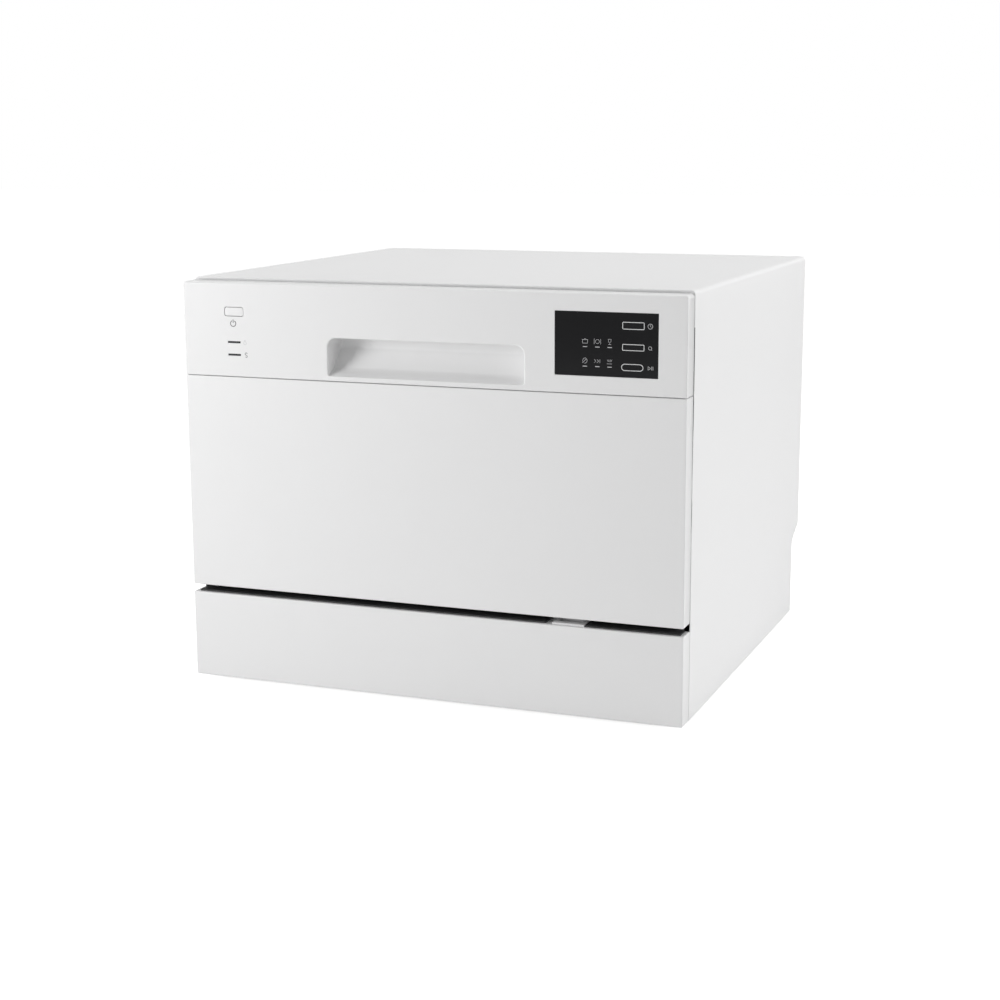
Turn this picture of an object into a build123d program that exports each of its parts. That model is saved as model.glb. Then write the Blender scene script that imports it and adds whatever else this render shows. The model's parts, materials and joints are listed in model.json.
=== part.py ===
from build123d import *
import math
import os

# Countertop dishwasher with a drop-down door. All sizes in millimetres.
# X runs to the right seen from the front, Y to the back, Z up.
# The origin is on the worktop, under the middle of the machine.

# Overall size
width = 550.0
height = 438.0
depth = 525.0
foot_rise = 6.0              # the body stands this high on its feet
side_x = width / 2
front_y = -depth / 2         # outer face of the door
back_y = depth / 2

# Sheet and moulding thicknesses
sheet = 1.0
panel_wall = 2.5
bend = 1.6                   # outer radius of the folded edges
wrap_bend = 5.0
hem = 4.0                    # rolled front edge of the wrap
hem_depth = 12.0

# Heights on the front
kick_top = 99.4
door_bottom = 107.4
seam_z = 336.3               # joint of the door panel and the control panel
panel_top = 435.0
panel_corner = 4.0

# Door build-up, measured back from the front face
door_skin_depth = 21.5       # depth of the folded returns
door_inner_face = 36.0
door_gap = 25.0              # front face to the front edge of the cabinet
tub_face = 44.0              # front face to the tub's flange

# Door hinge
hinge_y = front_y + 11.0
hinge_z = 114.9
pin_radius = 3.0
running_gap = 0.05
lever_reach = 26.0
lever_drop = 12.0

# Tub
tub_x = 252.0
tub_floor = 151.0
tub_top = 416.0
tub_back = 238.0
tub_corner = 28.0
flange_x = 259.0
flange_bottom = 141.0
flange_top = 424.0
tub_front = front_y + tub_face

# Rear recess that leaves room for the water connections
recess_y = back_y - 33.0
recess_z = 94.0
recess_top = 109.0
rear_face = back_y - 1.5

# Handle recess and display in the control panel
handle_left = -107.0
handle_right = 108.0
handle_low = 341.9
handle_high = 380.7
handle_corner = 9.0
handle_depth = 30.0
window_left = 140.2
window_right = 245.8
window_low = 353.8
window_high = 416.8
window_thick = 2.5

# Buttons: centre x, centre z, width, height
power_key = (-214.7, 404.4, 21.5, 8.9)
delay_key = (220.4, 404.2, 22.6, 7.6)
program_key = (220.4, 383.2, 22.6, 6.8)
start_key = (219.6, 363.8, 22.6, 7.2)
key_gap = 0.3
key_travel = 1.5
key_length = 13.5
board_y = front_y + 18.0

lens_left = -223.0
lens_right = -208.0
lens_heights = (372.5, 359.3)

# Latch in the top of the door
hook_y = front_y + 15.0
hook_z = 417.0
striker_y = front_y + tub_face

# Dispenser on the inner door
dispenser_left = -95.0
dispenser_right = 75.0
dispenser_low = 180.0
dispenser_high = 282.0
rinse_x = 44.0
rinse_z = 231.0

# Sump, filters and spray arm
sump_y = -60.0
sump_radius = 58.0
dish_depth = 5.0             # the tub floor falls this far to the sump
dish_slope = 9.0             # distance run for each millimetre of fall
dish_rise = 9.0              # height of the cone that cuts the dish
filter_radius = 32.0
riser_y = 12.0
riser_radius = 9.0
arm_reach = 182.0
arm_low = 166.0
arm_thick = 9.0
salt_x = -165.0
salt_y = -70.0
salt_radius = 30.0

# Dish basket
basket_x = 225.0
basket_front = -200.0
basket_back = 212.0
basket_floor = 188.0
basket_rim = 262.0
wire = 3.0
rim_wire = 5.0
roller_radius = 13.0
rail_top = 155.0
roller_y = 150.0
shelf_x = -216.0
shelf_z = 286.0

# Adjustable feet
foot_x = 235.0
foot_front = -205.0
foot_rear = 190.0
foot_pad = 17.0
foot_screw = 4.0

# Service connections in the rear recess, and small parts in the base
service_z = 54.0
valve_x = 190.0
drain_x = -120.0
gland_x = 110.0
float_x = 60.0
float_y = -160.0
guide_left = 137.0
guide_right = 171.0
guide_rear = front_y + 30.0
guide_stand = front_y + 24.6   # front of its upright, clear of the door's sweep
guide_skew = 7.5               # the upright stands this far to the left
roller_x = 212.0


# ---------------------------------------------------------------- helpers

def block(x0, x1, y0, y1, z0, z1):
    """A box given by its limits."""
    centre = Pos((x0 + x1) / 2, (y0 + y1) / 2, (z0 + z1) / 2)
    return centre * Box(x1 - x0, y1 - y0, z1 - z0)


def rect(a0, a1, b0, b1, radius=0):
    """A flat rectangle given by its limits, with rounded corners if a radius is given."""
    centre = Pos((a0 + a1) / 2, (b0 + b1) / 2)
    if radius:
        return centre * RectangleRounded(a1 - a0, b1 - b0, radius)
    return centre * Rectangle(a1 - a0, b1 - b0)


def slab_x(profile, x0, x1):
    """A profile drawn as (y, z), carried along X."""
    return extrude(Plane.YZ.offset(x0) * profile, x1 - x0)


def slab_y(profile, y0, y1):
    """A profile drawn as (x, z), carried along Y."""
    plane = Plane(origin=(0, y1, 0), x_dir=(1, 0, 0), z_dir=(0, -1, 0))
    return extrude(plane * profile, y1 - y0)


def slab_z(profile, z0, z1):
    """A profile drawn as (x, y), carried along Z."""
    return extrude(Plane.XY.offset(z0) * profile, z1 - z0)


def outline(points):
    """A closed flat face through the given corners."""
    return make_face(Polyline(*points, close=True))


def rod_x(y, z, radius, x0, x1):
    return slab_x(Pos(y, z) * Circle(radius), x0, x1)


def rod_y(x, z, radius, y0, y1):
    return slab_y(Pos(x, z) * Circle(radius), y0, y1)


def rod_z(x, y, radius, z0, z1):
    return slab_z(Pos(x, y) * Circle(radius), z0, z1)


def mirrored(solid):
    """The same piece on the other side of the machine."""
    return mirror(solid, about=Plane.YZ)


def octagon(size):
    """Wire section, measured across its flats, with a flat on top."""
    return Rot(0, 0, 22.5) * RegularPolygon(size / 2, 8, major_radius=False)


def wire_x(x0, x1, y, z, size=wire):
    return slab_x(Pos(y, z) * octagon(size), x0, x1)


def wire_y(x, y0, y1, z, size=wire):
    return slab_y(Pos(x, z) * octagon(size), y0, y1)


def wire_z(x, y, z0, z1, size=wire):
    return slab_z(Pos(x, y) * octagon(size), z0, z1)


def spread(first, last, count):
    """Evenly spaced places from first to last."""
    step = (last - first) / (count - 1)
    return [first + step * i for i in range(count)]


# ---------------------------------------------------------------- cabinet

def round_corner(face, place, radius):
    """The flat face with its corner nearest to the place rounded."""
    corner = face.vertices().sort_by_distance((place[0], place[1], 0))[0]
    return fillet(corner, radius)


def recess_cut(x0, x1, inset=0.0):
    """The space cut out of the lower rear, or a smaller one set in by a sheet."""
    low = -1 - inset
    slope = math.atan2(recess_top - recess_z, rear_face - recess_y)
    rise = inset * (1 - math.sin(slope)) / math.cos(slope)
    run = back_y + 5 - recess_y
    corner = (recess_y - inset, recess_z + rise)
    far = (back_y + 5, corner[1] + (run + inset) * math.tan(slope))
    face = outline([(corner[0], low), corner, far, (back_y + 5, low)])
    return slab_x(round_corner(face, corner, 14 + inset), x0, x1)


def outer_wrap():
    """Top and both sides folded from one sheet, with the rear recess cut out."""
    outer = rect(-side_x, side_x, foot_rise - 20, height, wrap_bend)
    inner = rect(-side_x + sheet, side_x - sheet, foot_rise - 40, height - sheet, wrap_bend - sheet)
    shell = slab_y(outer - inner, front_y + door_gap, back_y)
    shell -= block(-side_x - 1, side_x + 1, front_y, back_y + 1, -60, foot_rise)
    fold = rect(-side_x + hem, side_x - hem, foot_rise - 40, height - hem, wrap_bend - hem)
    edge = slab_y(outer - fold, front_y + door_gap, front_y + door_gap + hem_depth)
    edge -= block(-side_x - 1, side_x + 1, front_y, back_y + 1, -60, hinge_z)
    return shell + edge - recess_cut(-side_x - 1, side_x + 1)


def rear_panel():
    """Upper rear sheet with folded flanges and one large pressed field."""
    x = side_x - sheet
    plate_y = rear_face - sheet
    outer = block(-x, x, rear_face - 14, rear_face, recess_top, height - sheet)
    outer = fillet(outer.edges().filter_by(Axis.Y).sort_by(Axis.Z)[-2:], wrap_bend - sheet)
    hollow = block(-x + sheet, x - sheet, rear_face - 20, plate_y, recess_top - 5, height - 2 * sheet)
    panel = outer - hollow
    field = rect(-232, 232, 150, 404, 26)
    panel += slab_y(field, plate_y, back_y)
    panel -= slab_y(rect(-231, 231, 151, 403, 25), plate_y - 5, back_y - sheet)
    for x, z in rear_screw_places():
        panel -= rod_y(x, z, 1.9, rear_face - 20, back_y)
    return panel


def rear_screw_places():
    """Screws round the edge of the upper rear panel."""
    sides = [(s * 262, z) for s in (-1, 1) for z in (150, 277, 404)]
    return sides + [(s * 150, 425) for s in (-1, 1)]


def cover_screw_places():
    """Screws that hold the service cover to the base."""
    return [(s * 245, z) for s in (-1, 1) for z in (28, 78)]


def rear_service_cover():
    """Recessed lower rear sheet that carries the water and mains connections."""
    x = side_x - sheet
    cover = recess_cut(-x, x, sheet) - recess_cut(-x - 1, x + 1)
    cover -= block(-x - 1, x + 1, 0, back_y + 20, -20, foot_rise + 2)
    cover -= block(-x - 1, x + 1, rear_face - sheet, back_y + 20, 0, 140)
    for centre_x, hole in ((valve_x, 14.2), (drain_x, 12.2), (gland_x, 9.2)):
        cover -= rod_y(centre_x, service_z, hole, 0, recess_y + 1)
    for x, z in cover_screw_places():
        cover -= rod_y(x, z, 1.9, 0, recess_y + 1)
    for row in range(5):
        slot = rect(-60, 20, 36 + 9 * row, 40 + 9 * row, 1.9)
        cover -= slab_y(slot, 0, recess_y + 1)
    return cover


def base_tray():
    """Moulded base pan with foot bosses, posts for the tub and a float guide."""
    x = side_x - sheet
    front = front_y + 26.5
    rear = recess_y - sheet
    floor_z = foot_rise + 2
    tray = block(-x, x, front, rear, floor_z, 62)
    tray = fillet(tray.edges().filter_by(Axis.Z), 6)
    tray -= block(-x + 3, x - 3, front + 3, rear - 3, floor_z + 3, 70)
    tray += block(-256, 256, front, front + 3, 50, kick_top)
    for sx in (-1, 1):
        tray += block(sx * 235 - 12, sx * 235 + 12, front + 30, front + 54, floor_z, tub_floor)
        tray += block(sx * 235 - 12, sx * 235 + 12, 120, 144, floor_z, tub_floor)
        tray += block(sx * 180 - 8, sx * 180 + 8, front_y + sheet, front, 30, 44)
    for foot in foot_places():
        tray += rod_z(foot[0], foot[1], 13, floor_z, 34)
    for foot in foot_places():
        tray -= rod_z(foot[0], foot[1], foot_screw + running_gap, 0, 60)
    tray += rod_z(float_x, float_y, 3, floor_z, 44)
    for x, z in cover_screw_places():
        tray -= rod_y(x, z, 1.6, rear - 12, rear + 1)
    tray -= block(drain_x - 25, valve_x + 25, rear - 4, rear + 1, 24, 70)
    return tray


def foot_places():
    """Front pair first, left before right."""
    return [(x, y) for y in (foot_front, foot_rear) for x in (-foot_x, foot_x)]


def kick_plate():
    """Low front cover: one sheet folded back at both sides, top and bottom."""
    back = front_y + door_skin_depth
    plate = block(-side_x, side_x, front_y, back, foot_rise, kick_top)
    front_edges = plate.edges().filter_by(lambda e: abs(e.center().Y - front_y) < 0.01)
    plate = fillet(front_edges, bend)
    hollow = block(-side_x + sheet, side_x - sheet, front_y + sheet, back + 5,
                   foot_rise + sheet, kick_top - sheet)
    front_edges = hollow.edges().filter_by(lambda e: abs(e.center().Y - front_y - sheet) < 0.01)
    return plate - fillet(front_edges, bend - sheet)


def gap_seal_strip():
    """Black strip in the gap under the door: a flat lip and an apron under the tub."""
    lip = block(-256, 256, front_y + 4, tub_front + sheet, kick_top, kick_top + 1.6)
    apron = block(-256, 256, tub_front - 0.5, tub_front + sheet, kick_top + 1.6, flange_bottom)
    strip = lip + apron
    strip += block(-side_x + 6, side_x - 4, front_y + 4, front_y + 21, kick_top, kick_top + 1.6)
    return strip - block(guide_left - guide_skew - 0.5, guide_right + 0.5, front_y,
                         guide_rear + 0.5, 90, 104)


def cable_guide():
    """Light grey clip that leads the door wiring through the gap: a foot and an upright."""
    body = block(guide_left, guide_right, front_y + 3, guide_rear, kick_top, kick_top + 2.2)
    body += block(guide_left - guide_skew, guide_right - guide_skew, guide_stand, guide_rear,
                  kick_top, kick_top + 9)
    return body - block(guide_left + 5, guide_right - 5, front_y + 10, guide_stand - 3,
                        kick_top + 1, kick_top + 5)


def hinge_bracket():
    """Plate on the base with an arm that carries the door's pin."""
    y, z = hinge_y, hinge_z
    arm = outline([(y, z - 5), (front_y + 52, z - 5), (front_y + 52, 11),
                   (front_y + 70, 11), (front_y + 70, z + 5), (y, z + 5)])
    plate = slab_x(arm, 268.3, 270.8) + rod_x(y, z, 5, 268.3, 270.8)
    foot = block(258, 270.8, front_y + 54, front_y + 70, 11, 13.5)
    return plate + foot + rod_x(y, z, pin_radius, 259.2, 268.3)


def hinge_brackets():
    right = hinge_bracket()
    return [right, mirrored(right)]


def latch_striker():
    """Low bar with two cheeks, standing on the tub's top flange under the cabinet top."""
    y = tub_front
    bar = block(-14, 14, y, y + 3, flange_top, 427)
    cheeks = [block(sx * 12 - 2, sx * 12 + 2, y, y + 12, 427, height - sheet) for sx in (-1, 1)]
    foot = block(-14, 14, y, y + 12, flange_top, flange_top + 0.6)
    return bar + cheeks[0] + cheeks[1] + foot


def screw(x, y, z, shank=1.8):
    """Pan-head sheet screw driven towards the front."""
    head = rod_y(x, z, 4, y, y + 1.4)
    return head + rod_y(x, z, shank, y - 7, y)


def cabinet_screws():
    upper = [screw(x, rear_face, z) for x, z in rear_screw_places()]
    lower = [screw(x, recess_y, z, 1.5) for x, z in cover_screw_places()]
    return upper + lower


# ---------------------------------------------------------------- tub

def tub_hollow(grow):
    """The space in the tub, made larger all round by the sheet for the outside."""
    x = tub_x - sheet + grow
    box = block(-x, x, tub_front - 40, tub_back - sheet + grow, tub_floor + sheet - grow,
                tub_top - sheet + grow)
    back = [e for e in box.edges() if e.center().Y > tub_back - 5]
    along = box.edges().filter_by(Axis.Y)
    box = fillet(back + list(along), tub_corner + grow)
    low = tub_floor - dish_depth - grow
    cone = Cone(sump_radius + grow, sump_radius + grow + dish_slope * dish_rise, dish_rise,
                align=(Align.CENTER, Align.CENTER, Align.MIN))
    return box + Pos(0, sump_y, low) * cone


def tub():
    """Stainless tub, open at the front, with a flange and a dished floor round the sump."""
    flange = slab_y(rect(-flange_x, flange_x, flange_bottom, flange_top, 10),
                    tub_front, tub_front + sheet)
    shell = tub_hollow(sheet) - block(-300, 300, tub_front - 60, tub_front, 0, 500)
    body = (shell + flange) - tub_hollow(0)
    body -= rod_z(0, sump_y, sump_radius - 10, 100, 170)
    body -= rod_z(0, riser_y, riser_radius + 5, 100, 170)
    body -= rod_z(salt_x, salt_y, salt_radius - 3, 100, 170)
    return body


def door_gasket():
    """Rubber seal round the tub's mouth."""
    ring = rect(-258, 258, 143, 423, 9) - rect(-252, 252, 150, 417, 5)
    return slab_y(ring, front_y + door_inner_face + 0.3, tub_front)


def basket_rails():
    """Two low runners on the tub floor, each with a guide strip along both edges."""
    front, rear = tub_front + 8, tub_back - 32
    rails = []
    for sx in (-1, 1):
        x = sx * roller_x
        rails.append(block(x - 7, x + 7, front, rear, tub_floor + sheet, rail_top))
        rails.append(block(x - 7, x - 5.5, front, rear, rail_top, rail_top + 3))
        rails.append(block(x + 5.5, x + 7, front, rear, rail_top, rail_top + 3))
    return rails


# ---------------------------------------------------------------- wash system

def sump():
    """Moulded well under the tub floor with outlets to both pumps."""
    y = sump_y
    body = rod_z(0, y, sump_radius - 1, tub_floor - 14, tub_floor - 6)
    body += rod_z(0, y, 46, 92, tub_floor - 14) + rod_z(0, y, 30, 66, 92)
    body += rod_y(0, 82, 15, y, 22) + rod_x(y, 82, 11, -78, 0)
    body -= rod_z(0, y, sump_radius - 10, tub_floor - 10, 170)
    body -= rod_z(0, y, 42, 96, 170) + rod_z(0, y, 26, 68.5, 100)
    return body - rod_y(0, 82, 12, y, 30) - rod_x(y, 82, 8, -80, 0)


def fine_filter_plate():
    """Round strainer plate in the dish of the tub floor, with slots in a ring."""
    y, z = sump_y, tub_floor - 4.9
    plate = rod_z(0, y, sump_radius - 2, z, z + 1.6)
    plate += rod_z(0, y, sump_radius - 10.5, tub_floor - 9.5, z)
    plate -= rod_z(0, y, sump_radius - 12.5, tub_floor - 12, z)
    plate -= rod_z(0, y, filter_radius + 0.6, 100, 200)
    slot = slab_z(SlotCenterToCenter(5, 2.4), z - 5, z + 5)
    for turn in range(0, 360, 20):
        plate -= Pos(0, y, 0) * Rot(0, 0, turn) * Pos(40, 0, 0) * slot
    return plate


def coarse_filter():
    """Upper cup of the filter with four tall windows and a turning grip."""
    y, z = sump_y, tub_floor - 3.3
    cup = rod_z(0, y, filter_radius, 120, z + 3) - rod_z(0, y, filter_radius - 2, 123, 200)
    window = block(20, 40, -6.5, 6.5, 127, 143)
    for turn in range(0, 360, 45):
        cup -= Pos(0, y, 0) * Rot(0, 0, turn + 22.5) * window
    rim = rod_z(0, y, filter_radius + 4, z, z + 3) - rod_z(0, y, filter_radius - 2, z - 1, z + 4)
    grip = block(-filter_radius + 1, filter_radius - 1, y - 3, y + 3, z - 4, z + 11)
    grip -= rod_y(0, z - 4, 11, y - 5, y + 5)
    return cup + rim + grip


def micro_filter():
    """Fine cylinder under the coarse cup, screwed into the sump."""
    y = sump_y
    tube = rod_z(0, y, filter_radius - 8, 72, 120) - rod_z(0, y, filter_radius - 10, 74, 121)
    for level in range(4):
        ring = rod_z(0, y, filter_radius - 7, 76 + 11 * level, 78 + 11 * level)
        tube += ring - rod_z(0, y, filter_radius - 9, 70, 130)
    return tube


def spray_riser():
    """Hollow pin through the tub floor that the spray arm turns on."""
    base = rod_z(0, riser_y, 18, tub_floor - 1.3, tub_floor + 6)
    neck = rod_z(0, riser_y, riser_radius + 4.5, tub_floor - 12, tub_floor + 9)
    pin = rod_z(0, riser_y, riser_radius, tub_floor + 9, arm_low + arm_thick + 4)
    duct = rod_x(riser_y, tub_floor - 19, 10, -10, 58) + rod_z(0, riser_y, 12, 122, tub_floor - 12)
    bore = rod_z(0, riser_y, riser_radius - 2.5, 130, 200) + rod_x(riser_y, tub_floor - 19, 7.5, 0, 70)
    return base + neck + pin + duct - bore


def spray_arm():
    """Lower spray arm: a hollow tapered blade each side of the hub, with jets on top."""
    blade = make_hull([
        *(Pos(0, 0) * Circle(25)).edges(),
        *(Pos(arm_reach - 13, 9) * Circle(13)).edges(),
    ])
    plan = blade + Rot(0, 0, 180) * blade
    body = slab_z(plan, 0, arm_thick)
    rims = body.edges().group_by(Axis.Z)
    body = fillet(rims[-1], 2.5)
    body += Cylinder(17, arm_thick + 3, align=(Align.CENTER, Align.CENTER, Align.MIN))
    for reach in (55, 95, 135, 165):
        for turn in (0, 180):
            jet = Pos(reach, 2 + 0.04 * reach, arm_thick) * Cylinder(4, 2.4)
            jet -= Pos(reach, 2 + 0.04 * reach, arm_thick) * Cylinder(1.4, 6)
            body += Rot(0, 0, turn) * jet
    body -= Cylinder(riser_radius + running_gap, 60)
    return Pos(0, riser_y, arm_low) * body


def salt_cap():
    """Screw cap of the softener with a raised grip bar."""
    cap = rod_z(salt_x, salt_y, salt_radius + 4, tub_floor + 1.2, tub_floor + 7)
    cap += rod_z(salt_x, salt_y, salt_radius - 5, tub_floor + 7, tub_floor + 9)
    grip = block(salt_x - 22, salt_x + 22, salt_y - 3, salt_y + 3, tub_floor + 7, tub_floor + 13)
    return cap + grip + rod_z(salt_x, salt_y, salt_radius - 5, tub_floor - 8, tub_floor + 2)


def softener_tank():
    """Resin and salt chambers with the filling neck under the tub floor."""
    body = block(salt_x - 45, salt_x + 28, salt_y - 50, salt_y + 90, 46, 132)
    body = fillet(body.edges().filter_by(Axis.Z), 16)
    for y in (salt_y - 15, salt_y + 20, salt_y + 55):
        body += block(salt_x - 47, salt_x + 30, y - 2, y + 2, 50, 128)
    neck = rod_z(salt_x, salt_y, salt_radius, 132, tub_floor)
    feet = block(salt_x - 40, salt_x - 30, salt_y - 30, salt_y + 70, 11, 46)
    feet += block(salt_x + 10, salt_x + 20, salt_y - 30, salt_y + 70, 11, 46)
    bore = rod_z(salt_x, salt_y, salt_radius - 4.5, 60, 170)
    return body + neck + feet - bore


def wash_pump():
    """Volute with the suction collar facing the sump and an outlet to the heater."""
    y = 22
    volute = rod_y(0, 82, 40, y, y + 32)
    volute = fillet(volute.edges().filter_by(GeomType.CIRCLE).sort_by(Axis.Y)[0], 6)
    collar = rod_y(0, 82, 18, y - 14, y) - rod_y(0, 82, 15.05, y - 20, y)
    outlet = rod_x(y + 12, 106, 11, 0, 61) + rod_x(y + 12, 106, 14, 50, 56)
    foot = block(-30, 30, y + 6, y + 26, 11, 50)
    return volute + collar + outlet + foot


def wash_motor():
    """Pump motor: finned stator, end cap and a boss for the leads."""
    y = 54
    body = rod_y(0, 82, 38, y, y + 66)
    for index in range(5):
        ring_y = y + 10 + 11 * index
        body += rod_y(0, 82, 40.5, ring_y, ring_y + 4)
    cap = rod_y(0, 82, 33, y + 66, y + 80)
    cap = fillet(cap.edges().filter_by(GeomType.CIRCLE).sort_by(Axis.Y)[-1], 6)
    boss = block(-14, 14, y + 20, y + 44, 118, 128)
    foot = block(-22, 22, y + 20, y + 50, 11, 50)
    return body + cap + boss + foot


def flow_heater():
    """Upright flow heater between the wash pump and the spray riser."""
    x, y = 78, 20
    body = rod_z(x, y, 17, 60, 132) + rod_z(x, y, 20, 66, 72) + rod_z(x, y, 20, 120, 126)
    body += rod_z(x, y, 5, 50, 60) + rod_z(x + 9, y, 2.5, 50, 60) + rod_z(x - 9, y, 2.5, 50, 60)
    return body + block(x - 16, x + 16, y + 12, y + 20, 11, 100)


def drain_pump():
    """Drain pump on the left of the sump, with a synchronous motor and a barbed outlet."""
    y = sump_y
    head = rod_x(y, 82, 24, -102, -78) + rod_x(y, 82, 13, -78, -72) - rod_x(y, 82, 11.05, -90, -70)
    outlet = rod_z(-92, y + 14, 7, 82, 122)
    motor = block(-132, -102, y - 24, y + 24, 60, 104)
    motor = fillet(motor.edges().filter_by(Axis.X), 5)
    core = block(-128, -106, y - 34, y + 34, 66, 84)
    return head + outlet + motor + core


def internal_hoses():
    """Drain hose from the drain pump, and fill hose from the valve to the air break."""
    drain = hose_tube([(-92, -46, 122), (-92, -46, 137), (-92, 110, 137), (drain_x, 150, 120),
                       (drain_x, 176, service_z), (drain_x, 194, service_z)], [13, 20, 24, 14], 9.5)
    fill = hose_tube([(218, 196, service_z), (250, 196, service_z), (261, 172, 100),
                      (261, 172, 130)], [16, 20], 6)
    return [drain, fill]


def hose_tube(points, radii, radius):
    """A round hose along straight runs joined by tangent arcs."""
    line = FilletPolyline(*points, radius=radii)
    start = Plane(origin=line @ 0, z_dir=line % 0)
    tube = sweep(start * Circle(radius), path=line)
    return tube


def air_breather():
    """Flat water box on the right of the tub that breaks the mains inlet."""
    x0, x1 = tub_x, side_x - sheet - 3
    box = block(x0, x1, 40, 210, 190, 372)
    box = fillet(box.edges().filter_by(Axis.X), 12)
    for step in range(4):
        y = 70 + 36 * step
        box -= block(x1 - 2, x1 + 1, y, y + 3, 210, 350)
    stem = block(x0 + 2, x1, 160, 184, 130, 190)
    return box + stem


def leak_float():
    """Foam disc on the base's guide post; it rises when water collects."""
    disc = rod_z(float_x, float_y, 18, 12, 24)
    return disc - rod_z(float_x, float_y, 3 + running_gap, 0, 60)


def float_switch():
    """Snap switch held over the float on a bracket."""
    x, y = float_x, float_y
    post = block(x + 22, x + 26, y - 6, y + 6, 11, 46)
    shelf = block(x + 6, x + 22, y - 6, y + 6, 40, 42)
    body = block(x + 6, x + 20, y - 5, y + 5, 42, 52)
    return post + shelf + body + rod_z(x + 12, y, 1.5, 34.2, 40)


def inlet_valve():
    """Solenoid valve with a threaded spigot that points back through the cover."""
    x, z = valve_x, service_z
    spigot = rod_y(x, z, 13.2, recess_y - 2, recess_y + 16) - rod_y(x, z, 9, recess_y - 12, back_y)
    collar = rod_y(x, z, 18, recess_y - sheet - 4, recess_y - sheet)
    body = block(x - 20, x + 20, recess_y - 45, recess_y - sheet - 4, z - 18, z + 18)
    body = fillet(body.edges().filter_by(Axis.Z), 4)
    coil = rod_z(x, recess_y - 32, 13, z + 18, z + 32)
    bracket = block(x - 16, x + 16, recess_y - 40, recess_y - 20, 11, z - 18)
    bracket += rod_x(recess_y - 33.5, z, 5, x + 20, x + 28)
    return body + collar + spigot + coil + bracket - rod_y(x, z, 9, recess_y - 12, back_y)


def drain_outlet():
    """Elbow-free barbed spigot for the drain hose."""
    x, z = drain_x, service_z
    stem = rod_y(x, z, 9.5, 194, recess_y + 22)
    for step in range(3):
        y = recess_y + 6 + 5.5 * step
        barb = Plane(origin=(x, y, z), z_dir=(0, 1, 0)) * Cone(11, 9.4, 4)
        stem += barb
    flange = rod_y(x, z, 15, recess_y, recess_y + 2.5) + rod_y(x, z, 12, recess_y - 6, recess_y)
    return stem + flange - rod_y(x, z, 7.5, 190, back_y)


def cable_gland():
    """Empty gland where the mains lead enters."""
    x, z = gland_x, service_z
    body = rod_y(x, z, 9, recess_y - 14, recess_y + 12)
    nut = slab_y(Pos(x, z) * RegularPolygon(12.5, 6), recess_y, recess_y + 6)
    inner = slab_y(Pos(x, z) * RegularPolygon(12.5, 6), recess_y - 7, recess_y - sheet)
    return body + nut + inner - rod_y(x, z, 4.5, recess_y - 20, back_y)


# ---------------------------------------------------------------- door

def front_rounded(solid, y, radius, keep=None):
    """A block with the edges of its front face rounded, all or those that pass a test."""
    edges = [e for e in solid.edges() if abs(e.center().Y - y) < 0.01]
    if keep:
        edges = [e for e in edges if keep(e.center())]
    return fillet(edges, radius)


def door_outer_panel():
    """White sheet of the door, folded back at the sides, the bottom and the seam."""
    top = seam_z - 0.6
    back = front_y + door_skin_depth
    outer = block(-side_x, side_x, front_y, back, door_bottom, top)
    outer = front_rounded(outer, front_y, bend, lambda c: c.Z < top - 1)
    hollow = block(-side_x + sheet, side_x - sheet, front_y + sheet, back + 5,
                   door_bottom + sheet, top - sheet)
    hollow = front_rounded(hollow, front_y + sheet, bend - sheet, lambda c: c.Z < top - 3)
    panel = outer - hollow
    for sx in (-1, 1):
        panel -= block(sx * 266 - 7.5, sx * 266 + 7.5, front_y + 6, back + 1, 100, 110)
        panel += block(sx * 268.4 - 5.6, sx * 268.4 + 5.6, back - sheet, back, 165, top - sheet)
    for x, z in door_screw_places():
        panel -= rod_y(x, z, 1.9, back - 5, back + 1)
    return panel


def door_inner_panel():
    """Stainless inner door: a pressed pan with a flange fixed to the outer panel's returns."""
    flange_y = front_y + door_skin_depth
    face_y = front_y + door_inner_face
    pan = block(-259, 259, flange_y, face_y, 112, flange_top)
    rear_edges = [e for e in pan.edges() if abs(e.center().Y - face_y) < 0.01]
    pan = fillet(rear_edges, 5)
    hollow = block(-258, 258, flange_y - 5, face_y - sheet, 113, flange_top - 1)
    rear_edges = [e for e in hollow.edges() if abs(e.center().Y - face_y + sheet) < 0.01]
    hollow = fillet(rear_edges, 4)
    flange = slab_y(rect(-side_x, side_x, 108.5, panel_top - 4), flange_y, flange_y + sheet)
    for sx in (-1, 1):
        flange -= block(sx * 266.5 - 7.5, sx * 266.5 + 7.5, front_y, front_y + 40, 100, 160)
        flange -= block(sx * 260.8 - 1.8, sx * 260.8 + 1.8, front_y, front_y + 40, 100, 242)
    flange -= block(-8, 8, front_y, front_y + 40, flange_top, 430)
    panel = pan + flange - hollow
    panel -= block(dispenser_left + 4, dispenser_right - 4, front_y, front_y + 50,
                   dispenser_low + 4, dispenser_high - 4)
    bead = rect(-225, 225, 300, 306, 2.9)
    panel += slab_y(bead, face_y, face_y + 1.2)
    for x, z in door_screw_places():
        panel -= rod_y(x, z, 1.9, front_y, front_y + 50)
    return panel


def door_screw_places():
    """Screws through the inner panel's flange into the outer panel and control panel."""
    return [(s * 266, z) for s in (-1, 1) for z in (200, 262, 345, 400)]


def door_screws():
    """Pan-head screws seen when the door is open, heads towards the tub."""
    flange_y = front_y + door_skin_depth + sheet
    return [screw(x, flange_y, z) for x, z in door_screw_places()]


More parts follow.
